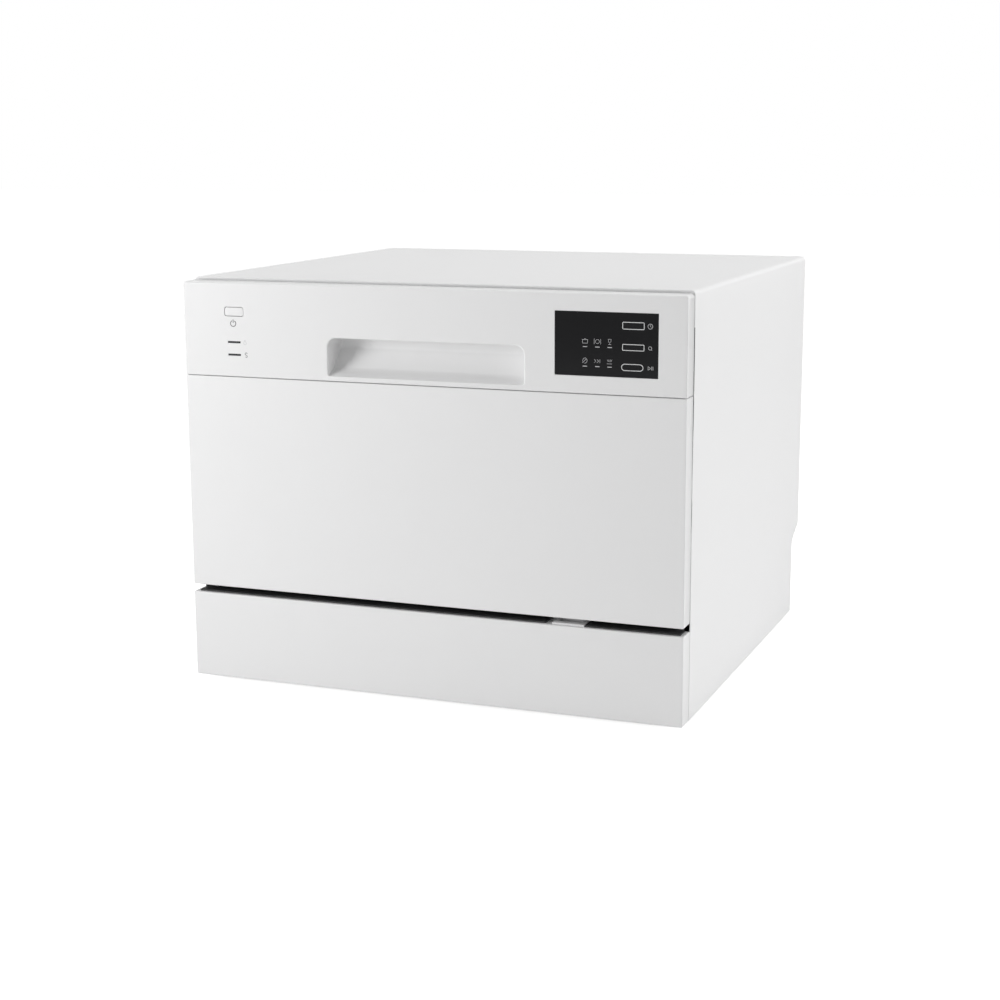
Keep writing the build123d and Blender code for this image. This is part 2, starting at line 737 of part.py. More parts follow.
def handle_profile(grow=0.0):
    """Side view of the handle recess: deep at the top, rising to the front at the bottom."""
    y = front_y
    face = outline([
        (y - 2, handle_low - grow),
        (y + 3, handle_low - grow),
        (y + 14, handle_low + 6 - grow),
        (y + handle_depth + grow, handle_high - 12),
        (y + handle_depth + grow, handle_high + grow),
        (y - 2, handle_high + grow),
    ])
    face = round_corner(face, (y + handle_depth + grow, handle_high + grow), 5 + grow)
    face = round_corner(face, (y + handle_depth + grow, handle_high - 12), 8 + grow)
    return round_corner(face, (y + 14, handle_low + 6 - grow), 10)


def handle_cavity(grow=0.0):
    """The finger space of the handle recess, or a larger one for its outside."""
    front = rect(handle_left - grow, handle_right + grow, handle_low - 20, handle_high + grow,
                 handle_corner + grow)
    walls = slab_y(front, front_y - 2, front_y + 60)
    body = slab_x(handle_profile(grow), handle_left - grow, handle_right + grow)
    return body & walls


def control_panel():
    """White moulded panel with the handle recess, the window seat and the key holes."""
    back = front_y + door_skin_depth
    outer = block(-side_x, side_x, front_y, back, seam_z, panel_top)
    outer = fillet(outer.edges().filter_by(Axis.Y).sort_by(Axis.Z)[-2:], panel_corner)
    outer = front_rounded(outer, front_y, bend, lambda c: c.Z > seam_z + 1)
    hollow = block(-side_x + panel_wall, side_x - panel_wall, front_y + panel_wall, back + 5,
                   seam_z + panel_wall, panel_top - panel_wall)
    panel = outer - hollow
    panel += handle_cavity(2.0) & block(-side_x, side_x, front_y + 0.5, front_y + 60, 300, panel_top)
    panel -= handle_cavity()
    window = rect(window_left, window_right, window_low, window_high)
    seat = rect(window_left - 9, window_right + 9, window_low - 9, window_high + 9)
    panel += slab_y(seat, front_y + panel_wall, front_y + window_thick + 2)
    panel -= slab_y(window, front_y - 1, front_y + window_thick)
    inner = rect(window_left + 4, window_right - 4, window_low + 4, window_high - 4)
    panel -= slab_y(inner, front_y, front_y + 10)
    panel -= key_shape(power_key, key_gap, -1, 10)
    for z in lens_heights:
        panel -= slab_y(rect(lens_left, lens_right, z - 1.1, z + 1.1), front_y - 1, front_y + 10)
    for x, z in door_screw_places():
        if z > seam_z:
            panel += rod_y(x, z, 3.6, front_y + 2, back) - rod_y(x, z, 1.9, front_y + 6, back)
    return panel


def key_shape(key, grow, front, rear):
    """A rounded key body between two depths behind the front face."""
    x, z, wide, high = key
    half_w, half_h = wide / 2 + grow, high / 2 + grow
    face = rect(x - half_w, x + half_w, z - half_h, z + half_h, 2 + grow)
    return slab_y(face, front_y + front, front_y + rear)


def display_window():
    """Dark display inlay with holes for the three keys."""
    gap = 0.1
    face = rect(window_left + gap, window_right - gap, window_low + gap, window_high - gap)
    window = slab_y(face, front_y, front_y + window_thick)
    for key in (delay_key, program_key, start_key):
        window -= key_shape(key, key_gap, -1, 10)
    return window


def push_button(key):
    """Key cap with a retaining collar and a stem that reaches its switch."""
    x, z, wide, high = key
    cap = key_shape(key, 0, 0, 5.5)
    collar = key_shape(key, 1.2, 5.5, 7)
    stem = block(x - 3, x + 3, front_y + 7, front_y + key_length, z - 2, z + 2)
    return cap + collar + stem


def indicator_lenses():
    """Two short light bars on the left of the panel."""
    return [slab_y(rect(lens_left, lens_right, z - 1.1, z + 1.1), front_y, front_y + 4)
            for z in lens_heights]


def control_board():
    """Two circuit boards on pillars behind the panel, with a switch behind every key."""
    boards = []
    window_keys = (delay_key, program_key, start_key)
    for keys, limits, pillar in ((window_keys, (132, 250, 349, 421), window_thick + 2),
                                 ((power_key,), (-236, -196, 349, 416), panel_wall)):
        x0, x1, z0, z1 = limits
        board = block(x0, x1, board_y, board_y + 1.6, z0, z1)
        for key in keys:
            x, z = key[0], key[1]
            board += block(x - 3, x + 3, front_y + key_length + key_travel + 0.1, board_y, z - 3, z + 3)
        for x in (x0 + 3, x1 - 3):
            board += rod_y(x, z0 + 3, 2, front_y + pillar, board_y)
            board += rod_y(x, z1 - 3, 2, front_y + pillar, board_y)
        board += block((x0 + x1) / 2 - 12, (x0 + x1) / 2 + 4, board_y + 1.6, board_y + 7, z0 + 6, z0 + 22)
        boards.append(board)
    return boards


def latch_housing():
    """Cradle in the top of the door that carries the latch hook's pin."""
    y, z = hook_y, hook_z
    base = block(-22, 22, y - 9, y + 4, 402, 405)
    cheeks = [block(sx * 10 - 2, sx * 10 + 2, y - 9, y + 4, 405, 428) for sx in (-1, 1)]
    legs = [block(sx * 20 - 2, sx * 20 + 2, front_y + panel_wall, y + 4, 402, 408) for sx in (-1, 1)]
    return base + cheeks[0] + cheeks[1] + legs[0] + legs[1] + rod_x(y, z, 2.5, -10, 10)


def latch_hook():
    """Sprung arm that reaches over the inner door, with a hardened nose for the striker."""
    y, z = hook_y, hook_z
    back = front_y + door_skin_depth
    arm = outline([(y - 4, z - 4), (y + 4, z - 4), (y + 4, 425), (back + 0.5, 425),
                   (back + 6.5, 430.4), (striker_y + 8, 430.4), (striker_y + 8, 433.2),
                   (back + 6, 433.2), (back + 0.5, 428.3), (y - 4, 428.3)])
    nose = outline([(striker_y + 3.5, 430.4), (striker_y + 3.5, 427.4),
                    (striker_y + 5, 427.4), (striker_y + 8, 430.4)])
    arm = slab_x(arm, -5, 5) - rod_x(y, z, 2.5 + running_gap, -8, 8)
    return [arm, slab_x(nose, -5, 5)]


def dispenser_body():
    """Moulded detergent and rinse-aid dispenser let into the inner door."""
    face_y = front_y + door_inner_face
    rim = slab_y(rect(dispenser_left, dispenser_right, dispenser_low, dispenser_high, 10),
                 face_y, face_y + 3)
    box = block(dispenser_left + 4.2, dispenser_right - 4.2, front_y + 8, face_y,
                dispenser_low + 4.2, dispenser_high - 4.2)
    cup = block(dispenser_left + 14, dispenser_left + 64, front_y + 14, face_y + 5,
                dispenser_low + 14, dispenser_high - 22)
    well = rod_y(rinse_x, rinse_z, 14.5, front_y + 20, face_y + 5)
    catch = block(dispenser_left + 20, dispenser_left + 58, face_y + 3, face_y + 4.6,
                  dispenser_high - 9, dispenser_high - 5)
    track_low = block(dispenser_left + 10, dispenser_right - 8, face_y + 3, face_y + 4.6,
                      dispenser_low + 4, dispenser_low + 7)
    return rim + box - cup - well + catch + track_low


def dispenser_lid():
    """Sliding lid over the detergent cup."""
    y = front_y + door_inner_face + 3.1
    lid = block(dispenser_left + 11, dispenser_left + 67, y, y + 2, dispenser_low + 9,
                dispenser_high - 17)
    lid = fillet(lid.edges().filter_by(Axis.Y), 5)
    thumb = block(dispenser_left + 33, dispenser_left + 45, y + 2, y + 3.6, dispenser_low + 40,
                  dispenser_low + 52)
    return lid + thumb


def rinse_cap():
    """Twist cap of the rinse-aid well."""
    y = front_y + door_inner_face
    cap = rod_y(rinse_x, rinse_z, 14.4, y - 6, y + 3.1) + rod_y(rinse_x, rinse_z, 16.5, y + 3.1, y + 4.6)
    grip = block(rinse_x - 12, rinse_x + 12, y + 4.6, y + 7.6, rinse_z - 2, rinse_z + 2)
    return cap + grip


def hinge_arm():
    """Arm bolted to the door's side, with the pin hole and a lever for the spring."""
    y, z = hinge_y, hinge_z
    arm = rod_x(y, z, 6.5, 259.5, 262)
    bar = outline([(y - 5.5, z), (y + 5.5, z - 1), (y + 21, 150), (y + 21, 240), (y + 12, 240),
                   (y + 12, 156)])
    lever = outline([(y - 3, z + 5), (y - 3, z - 5), (y + lever_reach, z - lever_drop - 4),
                     (y + lever_reach + 3, z - lever_drop), (y + lever_reach, z - lever_drop + 4)])
    arm += slab_x(bar, 259.5, 262) + slab_x(lever, 259.5, 262)
    arm += rod_x(y + lever_reach - 1, z - lever_drop, 2, 262, 268)
    arm += block(259, 259.5, y + 13, y + 20, 160, 235)
    return arm - rod_x(y, z, pin_radius + running_gap, 250, 270)


def hinge_arms():
    right = hinge_arm()
    return [right, mirrored(right)]


def door_spring():
    """Tension spring from the base to the hinge lever: close-wound body and two eyes."""
    x, y = 265, hinge_y + lever_reach - 1
    top = hinge_z - lever_drop
    body = rod_z(x, y, 4.5, 36, top - 16) - rod_z(x, y, 3, 35, top - 18)
    eyes = rod_z(x, y, 2.5, top - 17, top - 2.2) + rod_z(x, y, 2.5, 11, 37)
    return body + eyes


def door_springs():
    right = door_spring()
    return [right, mirrored(right)]


# ---------------------------------------------------------------- dish basket

def basket_wires():
    """Floor grid, upright side wires, plate tines and roller hangers."""
    low, high = basket_floor, basket_floor + wire
    wires = []
    for y in (-roller_y, -75.0, 0.0, 75.0, roller_y):
        wires.append(wire_x(-basket_x + 1.5, basket_x - 1.5, y, low))
    for x in spread(-basket_x + 24, basket_x - 24, 15):
        wires.append(wire_y(x, basket_front + 1.5, basket_back - 1.5, high))
    top = basket_rim - rim_wire / 2
    for x in spread(-basket_x + 24, basket_x - 24, 15):
        wires.append(wire_z(x, basket_front + 3, high + wire / 2, top))
        wires.append(wire_z(x, basket_back - 3, high + wire / 2, top))
    for y in (-roller_y, -75.0, 0.0, 75.0, roller_y):
        for sx in (-1, 1):
            wires.append(wire_z(sx * (basket_x - 3), y, low + wire / 2, top))
    for x in (-177.6, -120.2, -62.8):
        for y in spread(-150, 170, 9):
            wires.append(wire_z(tine_place(x), y, high + wire / 2, high + 62))
    wires += roller_hangers()
    return wires


def tine_place(x):
    """The floor wire nearest to a wanted place."""
    return min(spread(-basket_x + 24, basket_x - 24, 15), key=lambda place: abs(place - x))


def roller_hangers():
    """Four plates under the floor grid, each with a stub axle for its roller."""
    hangers = []
    axle_z = rail_top + roller_radius + 0.3
    for sy in (-1, 1):
        plate = block(roller_x + 6.5, roller_x + 9, sy * roller_y - 8, sy * roller_y + 8,
                      axle_z - 6, basket_floor - wire / 2)
        hanger = plate + rod_x(sy * roller_y, axle_z, 3, roller_x - 5.5, roller_x + 6.5)
        hangers += [hanger, mirrored(hanger)]
    return hangers


def basket_rim_frame():
    """Rounded rectangular rim in eight lengths: four straight rods and four bends."""
    half = rim_wire / 2
    outer = rect(-basket_x, basket_x, basket_front, basket_back, 30)
    inner = rect(-basket_x + 5, basket_x - 5, basket_front + 5, basket_back - 5, 25)
    ring = slab_z(outer - inner, basket_rim - half, basket_rim + half)
    long_way = block(-basket_x + 30, basket_x - 30, basket_front - 1, basket_back + 1, 0, 400)
    short_way = block(-basket_x - 1, basket_x + 1, basket_front + 30, basket_back - 30, 0, 400)
    rods = (ring & long_way).solids() + (ring & short_way).solids()
    return rods + (ring - long_way - short_way).solids()


def roller(sx, sy):
    """Grooved roller on its stub axle."""
    z = rail_top + roller_radius + 0.3
    wheel = rod_x(sy * roller_y, z, roller_radius, roller_x - 4, roller_x + 4)
    hub = rod_x(sy * roller_y, z, 6, roller_x - 5, roller_x + 5.5)
    wheel = wheel + hub - rod_x(sy * roller_y, z, 3 + running_gap, 190, 240)
    return wheel if sx > 0 else mirrored(wheel)


def cup_shelf():
    """Folding shelf over the left side of the basket, turning on clips on the rim."""
    x, z = shelf_x, shelf_z
    reach = 92
    wires = [wire_y(x + reach, -120, 120, z), wire_y(x + reach * 0.55, -120, 120, z - wire)]
    for y in spread(-118.5, 118.5, 7):
        wires.append(wire_x(x + 4, x + reach - 1.5, y, z) if abs(y) < 200 else None)
    hinge_rod = rod_y(x, z, 2, -126, 126)
    eyes = [rod_y(x, z, 4, y - 4, y + 4) for y in spread(-118.5, 118.5, 7)]
    shelf = hinge_rod
    for eye in eyes:
        shelf += eye
    for piece in wires:
        shelf += piece
    return shelf


def shelf_clips():
    """Two clips on the basket rim that hold the shelf's rod."""
    clips = []
    for y in (-108, 108):
        post = block(shelf_x - 5, shelf_x + 3, y - 5, y + 5, basket_rim + rim_wire / 2, shelf_z - 4)
        eye = rod_y(shelf_x, shelf_z, 5, y - 5, y + 5) + block(
            shelf_x - 5, shelf_x + 3, y - 5, y + 5, shelf_z - 5, shelf_z - 2)
        clips.append(post + eye - rod_y(shelf_x, shelf_z, 2 + running_gap, y - 10, y + 10))
    return clips


def cutlery_basket():
    """Open-topped cutlery box with slotted walls and floor and a bridge handle."""
    x0, x1, y0, y1 = 148, 214, -186, -40
    z0, z1 = basket_floor + 1.5 * wire + 0.3, 296
    box = slab_z(rect(x0, x1, y0, y1, 8), z0, z1)
    box -= slab_z(rect(x0 + 2, x1 - 2, y0 + 2, y1 - 2, 6), z0 + 2, z1 + 1)
    for y in spread(y0 + 17, y1 - 17, 5):
        for z in (z0 + 12, z0 + 40, z0 + 68):
            box -= block(x0 - 1, x1 + 1, y - 7, y + 7, z, z + 20)
    for x in (x0 + 20, x1 - 20):
        for z in (z0 + 12, z0 + 40, z0 + 68):
            box -= block(x - 7, x + 7, y0 - 1, y1 + 1, z, z + 20)
    for y in spread(y0 + 17, y1 - 17, 5):
        box -= block(x0 + 8, x1 - 8, y - 7, y + 7, z0 - 1, z0 + 3)
    mid = (y0 + y1) / 2
    bridge = block(x0, x0 + 2, mid - 8, mid + 8, z1 - 14, z1 + 18)
    bridge += block(x1 - 2, x1, mid - 8, mid + 8, z1 - 14, z1 + 18)
    bridge += block(x0, x1, mid - 8, mid + 8, z1 + 14, z1 + 18)
    return box + bridge


def foot(place):
    """Adjustable foot: round pad, spanner flats and a threaded stud."""
    x, y = place
    pad = rod_z(x, y, foot_pad, 0, 5)
    pad = fillet(pad.edges().filter_by(GeomType.CIRCLE).sort_by(Axis.Z)[-1], 2)
    flats = slab_z(Pos(x, y) * RegularPolygon(7, 6), 5, foot_rise + 1.6)
    return pad + flats + rod_z(x, y, foot_screw, 5, 38)


# ---------------------------------------------------------------- output

def save(name, shape):
    """Write one node; a list becomes a group of separate solids."""
    pieces = shape if isinstance(shape, list) else [shape]
    solids = [solid for piece in pieces for solid in piece.solids()]
    export_step(Compound(children=solids), f"parts/{name}.step")


nodes = {
    "outer_wrap": outer_wrap,
    "rear_panel": rear_panel,
    "rear_service_cover": rear_service_cover,
    "base_tray": base_tray,
    "kick_plate": kick_plate,
    "gap_seal_strip": gap_seal_strip,
    "cable_guide": cable_guide,
    "hinge_brackets": hinge_brackets,
    "latch_striker": latch_striker,
    "cabinet_screws": cabinet_screws,
    "tub": tub,
    "door_gasket": door_gasket,
    "basket_rails": basket_rails,
    "sump": sump,
    "fine_filter_plate": fine_filter_plate,
    "spray_riser": spray_riser,
    "softener_tank": softener_tank,
    "wash_pump": lambda: [wash_pump(), wash_motor()],
    "flow_heater": flow_heater,
    "drain_pump": drain_pump,
    "internal_hoses": internal_hoses,
    "air_breather": air_breather,
    "float_switch": float_switch,
    "inlet_valve": inlet_valve,
    "drain_outlet": drain_outlet,
    "cable_gland": cable_gland,
    "door_outer_panel": door_outer_panel,
    "door_inner_panel": door_inner_panel,
    "control_panel": control_panel,
    "display_window": display_window,
    "indicator_lenses": indicator_lenses,
    "control_board": control_board,
    "latch_housing": latch_housing,
    "dispenser_body": dispenser_body,
    "hinge_arms": hinge_arms,
    "door_screws": door_screws,
    "door_springs": door_springs,
    "latch_hook": latch_hook,
    "dispenser_lid": dispenser_lid,
    "rinse_cap": rinse_cap,
    "spray_arm": spray_arm,
    "coarse_filter": coarse_filter,
    "micro_filter": micro_filter,
    "salt_cap": salt_cap,
    "leak_float": leak_float,
    "dish_basket": lambda: basket_wires() + basket_rim_frame() + shelf_clips(),
    "cup_shelf": cup_shelf,
    "cutlery_basket": cutlery_basket,
    "power_button": lambda: push_button(power_key),
    "delay_button": lambda: push_button(delay_key),
    "program_button": lambda: push_button(program_key),
    "start_button": lambda: push_button(start_key),
}

os.makedirs("parts", exist_ok=True)
for node_name, make in nodes.items():
    save(node_name, make())
corners = ("front_left", "front_right", "rear_left", "rear_right")
for corner_name, place in zip(corners, foot_places()):
    side = 1 if place[0] > 0 else -1
    row = 1 if place[1] > 0 else -1
    save(f"{corner_name}_foot", foot(place))
    save(f"{corner_name}_roller", roller(side, row))
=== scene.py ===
import bmesh
import bpy
import json
import math
import numpy as np
from mathutils import Matrix

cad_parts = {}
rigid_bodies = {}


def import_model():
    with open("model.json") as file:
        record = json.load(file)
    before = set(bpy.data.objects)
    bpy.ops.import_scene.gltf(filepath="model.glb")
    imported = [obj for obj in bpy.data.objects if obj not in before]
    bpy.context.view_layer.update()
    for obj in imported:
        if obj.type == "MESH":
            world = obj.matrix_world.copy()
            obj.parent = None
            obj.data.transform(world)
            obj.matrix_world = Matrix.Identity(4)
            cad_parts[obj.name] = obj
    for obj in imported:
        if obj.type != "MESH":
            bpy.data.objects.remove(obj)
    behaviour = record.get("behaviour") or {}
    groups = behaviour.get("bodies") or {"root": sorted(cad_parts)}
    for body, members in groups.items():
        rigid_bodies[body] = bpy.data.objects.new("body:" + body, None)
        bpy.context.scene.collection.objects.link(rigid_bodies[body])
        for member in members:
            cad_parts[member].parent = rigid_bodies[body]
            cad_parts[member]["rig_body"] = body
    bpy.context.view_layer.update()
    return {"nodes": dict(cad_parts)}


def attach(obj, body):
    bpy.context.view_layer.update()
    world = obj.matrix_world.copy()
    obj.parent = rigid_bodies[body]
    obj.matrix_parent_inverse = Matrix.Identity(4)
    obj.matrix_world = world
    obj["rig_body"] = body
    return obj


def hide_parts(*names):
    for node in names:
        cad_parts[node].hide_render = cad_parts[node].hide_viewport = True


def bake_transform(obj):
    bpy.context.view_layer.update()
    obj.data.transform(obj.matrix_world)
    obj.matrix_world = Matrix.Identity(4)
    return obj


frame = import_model()
print("frame loaded:", len(frame["nodes"]), "nodes")

# Sizes shared by several pieces, in metres, as the CAD has them
body = {
    "sideX": 0.275, "front": -0.2625, "rear": 0.2625, "top": 0.438, "footRise": 0.006,
    "skinDepth": 0.0215, "cabinetFront": -0.2375, "kickTop": 0.0994, "doorBottom": 0.1074,
    "seam": 0.3363, "panelTop": 0.435, "paintFace": 0.00012,
}

# ---- camera, at the photograph's place and angle
view = {"place": (0.7462, -1.979, 0.592), "turn": 21.146, "tilt": 11.3, "roll": -0.24, "lens": 67.14}


def addCamera():
    turn, tilt, roll = (math.radians(view[key]) for key in ("turn", "tilt", "roll"))
    back = np.array([math.sin(turn) * math.cos(tilt), -math.cos(turn) * math.cos(tilt), math.sin(tilt)])
    level = np.array([math.cos(turn), math.sin(turn), 0.0])
    right = level * math.cos(roll) + np.cross(back, level) * math.sin(roll)
    axes = np.eye(4)
    axes[:3, 0], axes[:3, 1], axes[:3, 2], axes[:3, 3] = right, np.cross(back, right), back, view["place"]
    data = bpy.data.cameras.new("photoCamera")
    data.lens, data.sensor_width, data.clip_end = view["lens"], 36.0, 50.0
    camera = bpy.data.objects.new("photoCamera", data)
    bpy.context.scene.collection.objects.link(camera)
    camera.matrix_world = Matrix(axes.tolist())
    bpy.context.scene.camera = camera


addCamera()
bpy.context.scene.view_settings.view_transform = "Standard"
print("camera placed")

# ---- surfaces: each is a grid or a set of rings, worked out as whole arrays


def unit(vectors):
    return vectors / np.maximum(np.linalg.norm(vectors, axis=-1, keepdims=True), 1e-12)


def gridFaces(rows, columns, closedRows=False, closedColumns=False):
    # quads between neighbouring grid points; a closed direction joins its last line to its first
    r = np.arange(rows if closedRows else rows - 1)[:, None]
    c = np.arange(columns if closedColumns else columns - 1)[None, :]
    rn, cn = (r + 1) % rows, (c + 1) % columns
    return np.stack([r * columns + c, r * columns + cn, rn * columns + cn, rn * columns + c], -1).reshape(-1, 4)


class Shell:
    # collects grids and flat caps, then makes one mesh of them
    def __init__(self):
        self.points, self.faces, self.count = [], [], 0

    def grid(self, points, closedRows=False, closedColumns=False, caps=()):
        rows, columns = points.shape[:2]
        flat = points.reshape(-1, 3)
        self.faces += (gridFaces(rows, columns, closedRows, closedColumns) + self.count).tolist()
        if "first" in caps:
            self.faces.append((np.arange(columns)[::-1] + self.count).tolist())
        if "last" in caps:
            self.faces.append((np.arange(columns) + (rows - 1) * columns + self.count).tolist())
        self.points.append(flat)
        self.count += len(flat)
        return self

    def copies(self, points, faces, places):
        # one small shape repeated at many places
        points = np.asarray(points, float)
        for place in places:
            self.faces += [[i + self.count for i in face] for face in faces]
            self.points.append(points + place)
            self.count += len(points)
        return self

    def build(self, name, rider, finish, slotName, replaced=(), angle=35.0, outward=True, merge=1e-6):
        mesh = bpy.data.meshes.new(name)
        mesh.from_pydata(np.concatenate(self.points).tolist(), [], self.faces)
        work = bmesh.new()
        work.from_mesh(mesh)
        bmesh.ops.remove_doubles(work, verts=work.verts, dist=merge)
        bmesh.ops.dissolve_degenerate(work, edges=work.edges, dist=1e-7)
        if outward:
            bmesh.ops.recalc_face_normals(work, faces=work.faces)
        work.to_mesh(mesh)
        work.free()
        return placePiece(name, mesh, rider, finish, replaced, angle)


def placePiece(name, mesh, rider, finish, replaced=(), angle=35.0):
    mesh.polygons.foreach_set("use_smooth", np.ones(len(mesh.polygons), bool))
    mesh.set_sharp_from_angle(angle=math.radians(angle))
    mesh.materials.clear()
    mesh.materials.append(finishes[finish])
    piece = bpy.data.objects.new(name, mesh)
    bpy.context.scene.collection.objects.link(piece)
    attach(piece, rider)
    if replaced:
        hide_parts(*replaced)
    return piece


def flipIfInward(mesh, direction):
    # an open sheet has its faces turned so that most of its area looks along the direction given
    normals = np.zeros(len(mesh.polygons) * 3)
    areas = np.zeros(len(mesh.polygons))
    mesh.polygons.foreach_get("normal", normals)
    mesh.polygons.foreach_get("area", areas)
    if ((normals.reshape(-1, 3) @ np.asarray(direction, float)) * areas).sum() < 0:
        mesh.flip_normals()


def thicken(piece, thickness, direction):
    flipIfInward(piece.data, direction)
    wall = piece.modifiers.new("wall", "SOLIDIFY")
    wall.thickness, wall.offset, wall.use_even_offset, wall.use_quality_normals = thickness, -1, True, True
    return piece


def cutNotch(mesh, x0, x1, y0, y1, z0, z1):
    # splits the faces that lie in the z range at the notch's sides, and deletes those inside it
    work = bmesh.new()
    work.from_mesh(mesh)
    for place, normal in (((x0, 0, 0), (1, 0, 0)), ((x1, 0, 0), (1, 0, 0)), ((0, y0, 0), (0, 1, 0))):
        faces = [f for f in work.faces if all(z0 < v.co.z < z1 for v in f.verts)]
        parts = list({e for f in faces for e in f.edges}) + list({v for f in faces for v in f.verts}) + faces
        bmesh.ops.bisect_plane(work, geom=parts, dist=1e-7, plane_co=place, plane_no=normal)
    inside = []
    for face in work.faces:
        middle = face.calc_center_median()
        if x0 < middle.x < x1 and y0 < middle.y < y1 and z0 < middle.z < z1:
            inside.append(face)
    bmesh.ops.delete(work, geom=inside, context="FACES")
    work.to_mesh(mesh)
    work.free()


def bevelEdges(piece, width, segments=2, angle=35.0):
    edge = piece.modifiers.new("edges", "BEVEL")
    edge.width, edge.segments, edge.limit_method = width, segments, "ANGLE"
    edge.angle_limit, edge.harden_normals = math.radians(angle), True
    return piece


def loopOf(x0, x1, z0, z1, corner, arc=6, sides=(2, 2)):
    # closed outline of a rectangle with round corners, going right, up, left and down;
    # gives the points (x, z), their outward normals and the angle of each normal
    corner = np.broadcast_to(corner, 4)
    centres = [(x1, z0, -1, 1), (x1, z1, -1, -1), (x0, z1, 1, -1), (x0, z0, 1, 1)]
    points, angles = [], []
    for index, (cx, cz, sx, sz) in enumerate(centres):
        radius = corner[index]
        turn = np.radians(np.linspace(-90, 0, arc + 1) + 90 * index)
        centre = np.array([cx + sx * radius, cz + sz * radius])
        points.append(centre + radius * np.stack([np.cos(turn), np.sin(turn)], -1))
        angles.append(np.degrees(turn))
    allPoints, allAngles = [], []
    for index in range(4):
        count = sides[index % 2]
        ahead = points[(index + 1) % 4][0]
        steps = np.arange(1, count)[:, None] / count
        allPoints += [points[index], points[index][-1] + steps * (ahead - points[index][-1])]
        allAngles += [angles[index], np.full(count - 1, angles[index][-1])]
    place, angle = np.concatenate(allPoints), np.concatenate(allAngles)
    normal = np.stack([np.cos(np.radians(angle)), np.sin(np.radians(angle))], -1)
    return place, normal, angle


def insetLoop(limits, corner, insets, arc=6, sides=(2, 2)):
    # the same outline drawn smaller; insets are for the bottom, right, top and left side
    bottom, right, top, left = np.broadcast_to(insets, 4)
    x0, x1, z0, z1 = limits
    beside = np.array([max(bottom, right), max(right, top), max(top, left), max(left, bottom)])
    smaller = np.maximum(np.broadcast_to(corner, 4) - beside, 2e-5)
    return loopOf(x0 + left, x1 - right, z0 + bottom, z1 - top, smaller, arc, sides)


def atDepth(loop, y):
    # an (x, z) loop stood up at a depth y, which may differ from point to point
    return np.stack([loop[:, 0], np.broadcast_to(y, len(loop)), loop[:, 1]], -1)


def tube(path, radius, across, sides=10, closed=False):
    # round wire: circles square to the path; across is any direction the path never runs along
    path = np.asarray(path, float)
    ahead = np.roll(path, -1, 0) - np.roll(path, 1, 0) if closed else np.gradient(path, axis=0)
    ahead = unit(ahead)
    side = unit(np.cross(ahead, np.asarray(across, float)))
    rise = np.cross(side, ahead)
    turn = np.linspace(0, 2 * math.pi, sides, endpoint=False)
    ring = np.cos(turn)[None, :, None] * side[:, None] + np.sin(turn)[None, :, None] * rise[:, None]
    radius = np.broadcast_to(radius, len(path))[:, None, None]
    return path[:, None] + radius * ring


def turned(profile, centre, axis="z", sides=48):
    # a profile of (radius, height) pairs turned about an axis through the centre
    profile = np.asarray(profile, float)
    turn = np.linspace(0, 2 * math.pi, sides, endpoint=False)
    r, h = profile[:, 0][:, None], profile[:, 1][:, None] + 0 * turn[None]
    a, b = r * np.cos(turn), r * np.sin(turn)
    order = {"z": (a, b, h), "y": (a, h, b), "x": (h, a, b)}[axis]
    return np.stack(order, -1) + np.asarray(centre, float)


def smoothCopy(node, finish, bevel=0.0, angle=32.0, name=None):
    # the CAD shape with its triangles joined, round faces shaded smooth and hard edges eased
    source = frame["nodes"][node]
    mesh = source.data.copy()
    work = bmesh.new()
    work.from_mesh(mesh)
    bmesh.ops.remove_doubles(work, verts=work.verts, dist=1e-6)
    bmesh.ops.dissolve_limit(work, angle_limit=math.radians(0.5), verts=work.verts, edges=work.edges)
    work.to_mesh(mesh)
    work.free()
    piece = placePiece(name or node + "Piece", mesh, source["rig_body"], finish, (node,), angle)
    if bevel:
        bevelEdges(piece, bevel)
    return piece


# ---- finishes: every one has its own small-scale detail from nodes on Object coordinates


def pattern(tree, kind, scale, stretch=(1, 1, 1), **values):
    # a procedural texture on the object's own coordinates, stretched along its grain
    place = tree.nodes.new("ShaderNodeTexCoord")
    mapping = tree.nodes.new("ShaderNodeMapping")
    mapping.inputs["Scale"].default_value = stretch
    texture = tree.nodes.new(kind)
    texture.inputs["Scale"].default_value = scale
    for key, value in values.items():
        if key in ("wave_type", "bands_direction", "feature", "distance"):
            setattr(texture, key, value)
        else:
            texture.inputs[key].default_value = value
    tree.links.new(place.outputs["Object"], mapping.inputs["Vector"])
    tree.links.new(mapping.outputs["Vector"], texture.inputs["Vector"])
    return texture


def spreadTo(tree, source, low, high):
    ranger = tree.nodes.new("ShaderNodeMapRange")
    ranger.inputs["From Min"].default_value, ranger.inputs["From Max"].default_value = 0.3, 0.7
    ranger.inputs["To Min"].default_value, ranger.inputs["To Max"].default_value = low, high
    tree.links.new(source, ranger.inputs["Value"])
    return ranger.outputs["Result"]


def mixColours(tree, source, first, second):
    blendNode = tree.nodes.new("ShaderNodeMix")
    blendNode.data_type = "RGBA"
    blendNode.inputs["A"].default_value = (*first, 1)
    blendNode.inputs["B"].default_value = (*second, 1)
    tree.links.new(source, blendNode.inputs["Factor"])
    return blendNode.outputs["Result"]


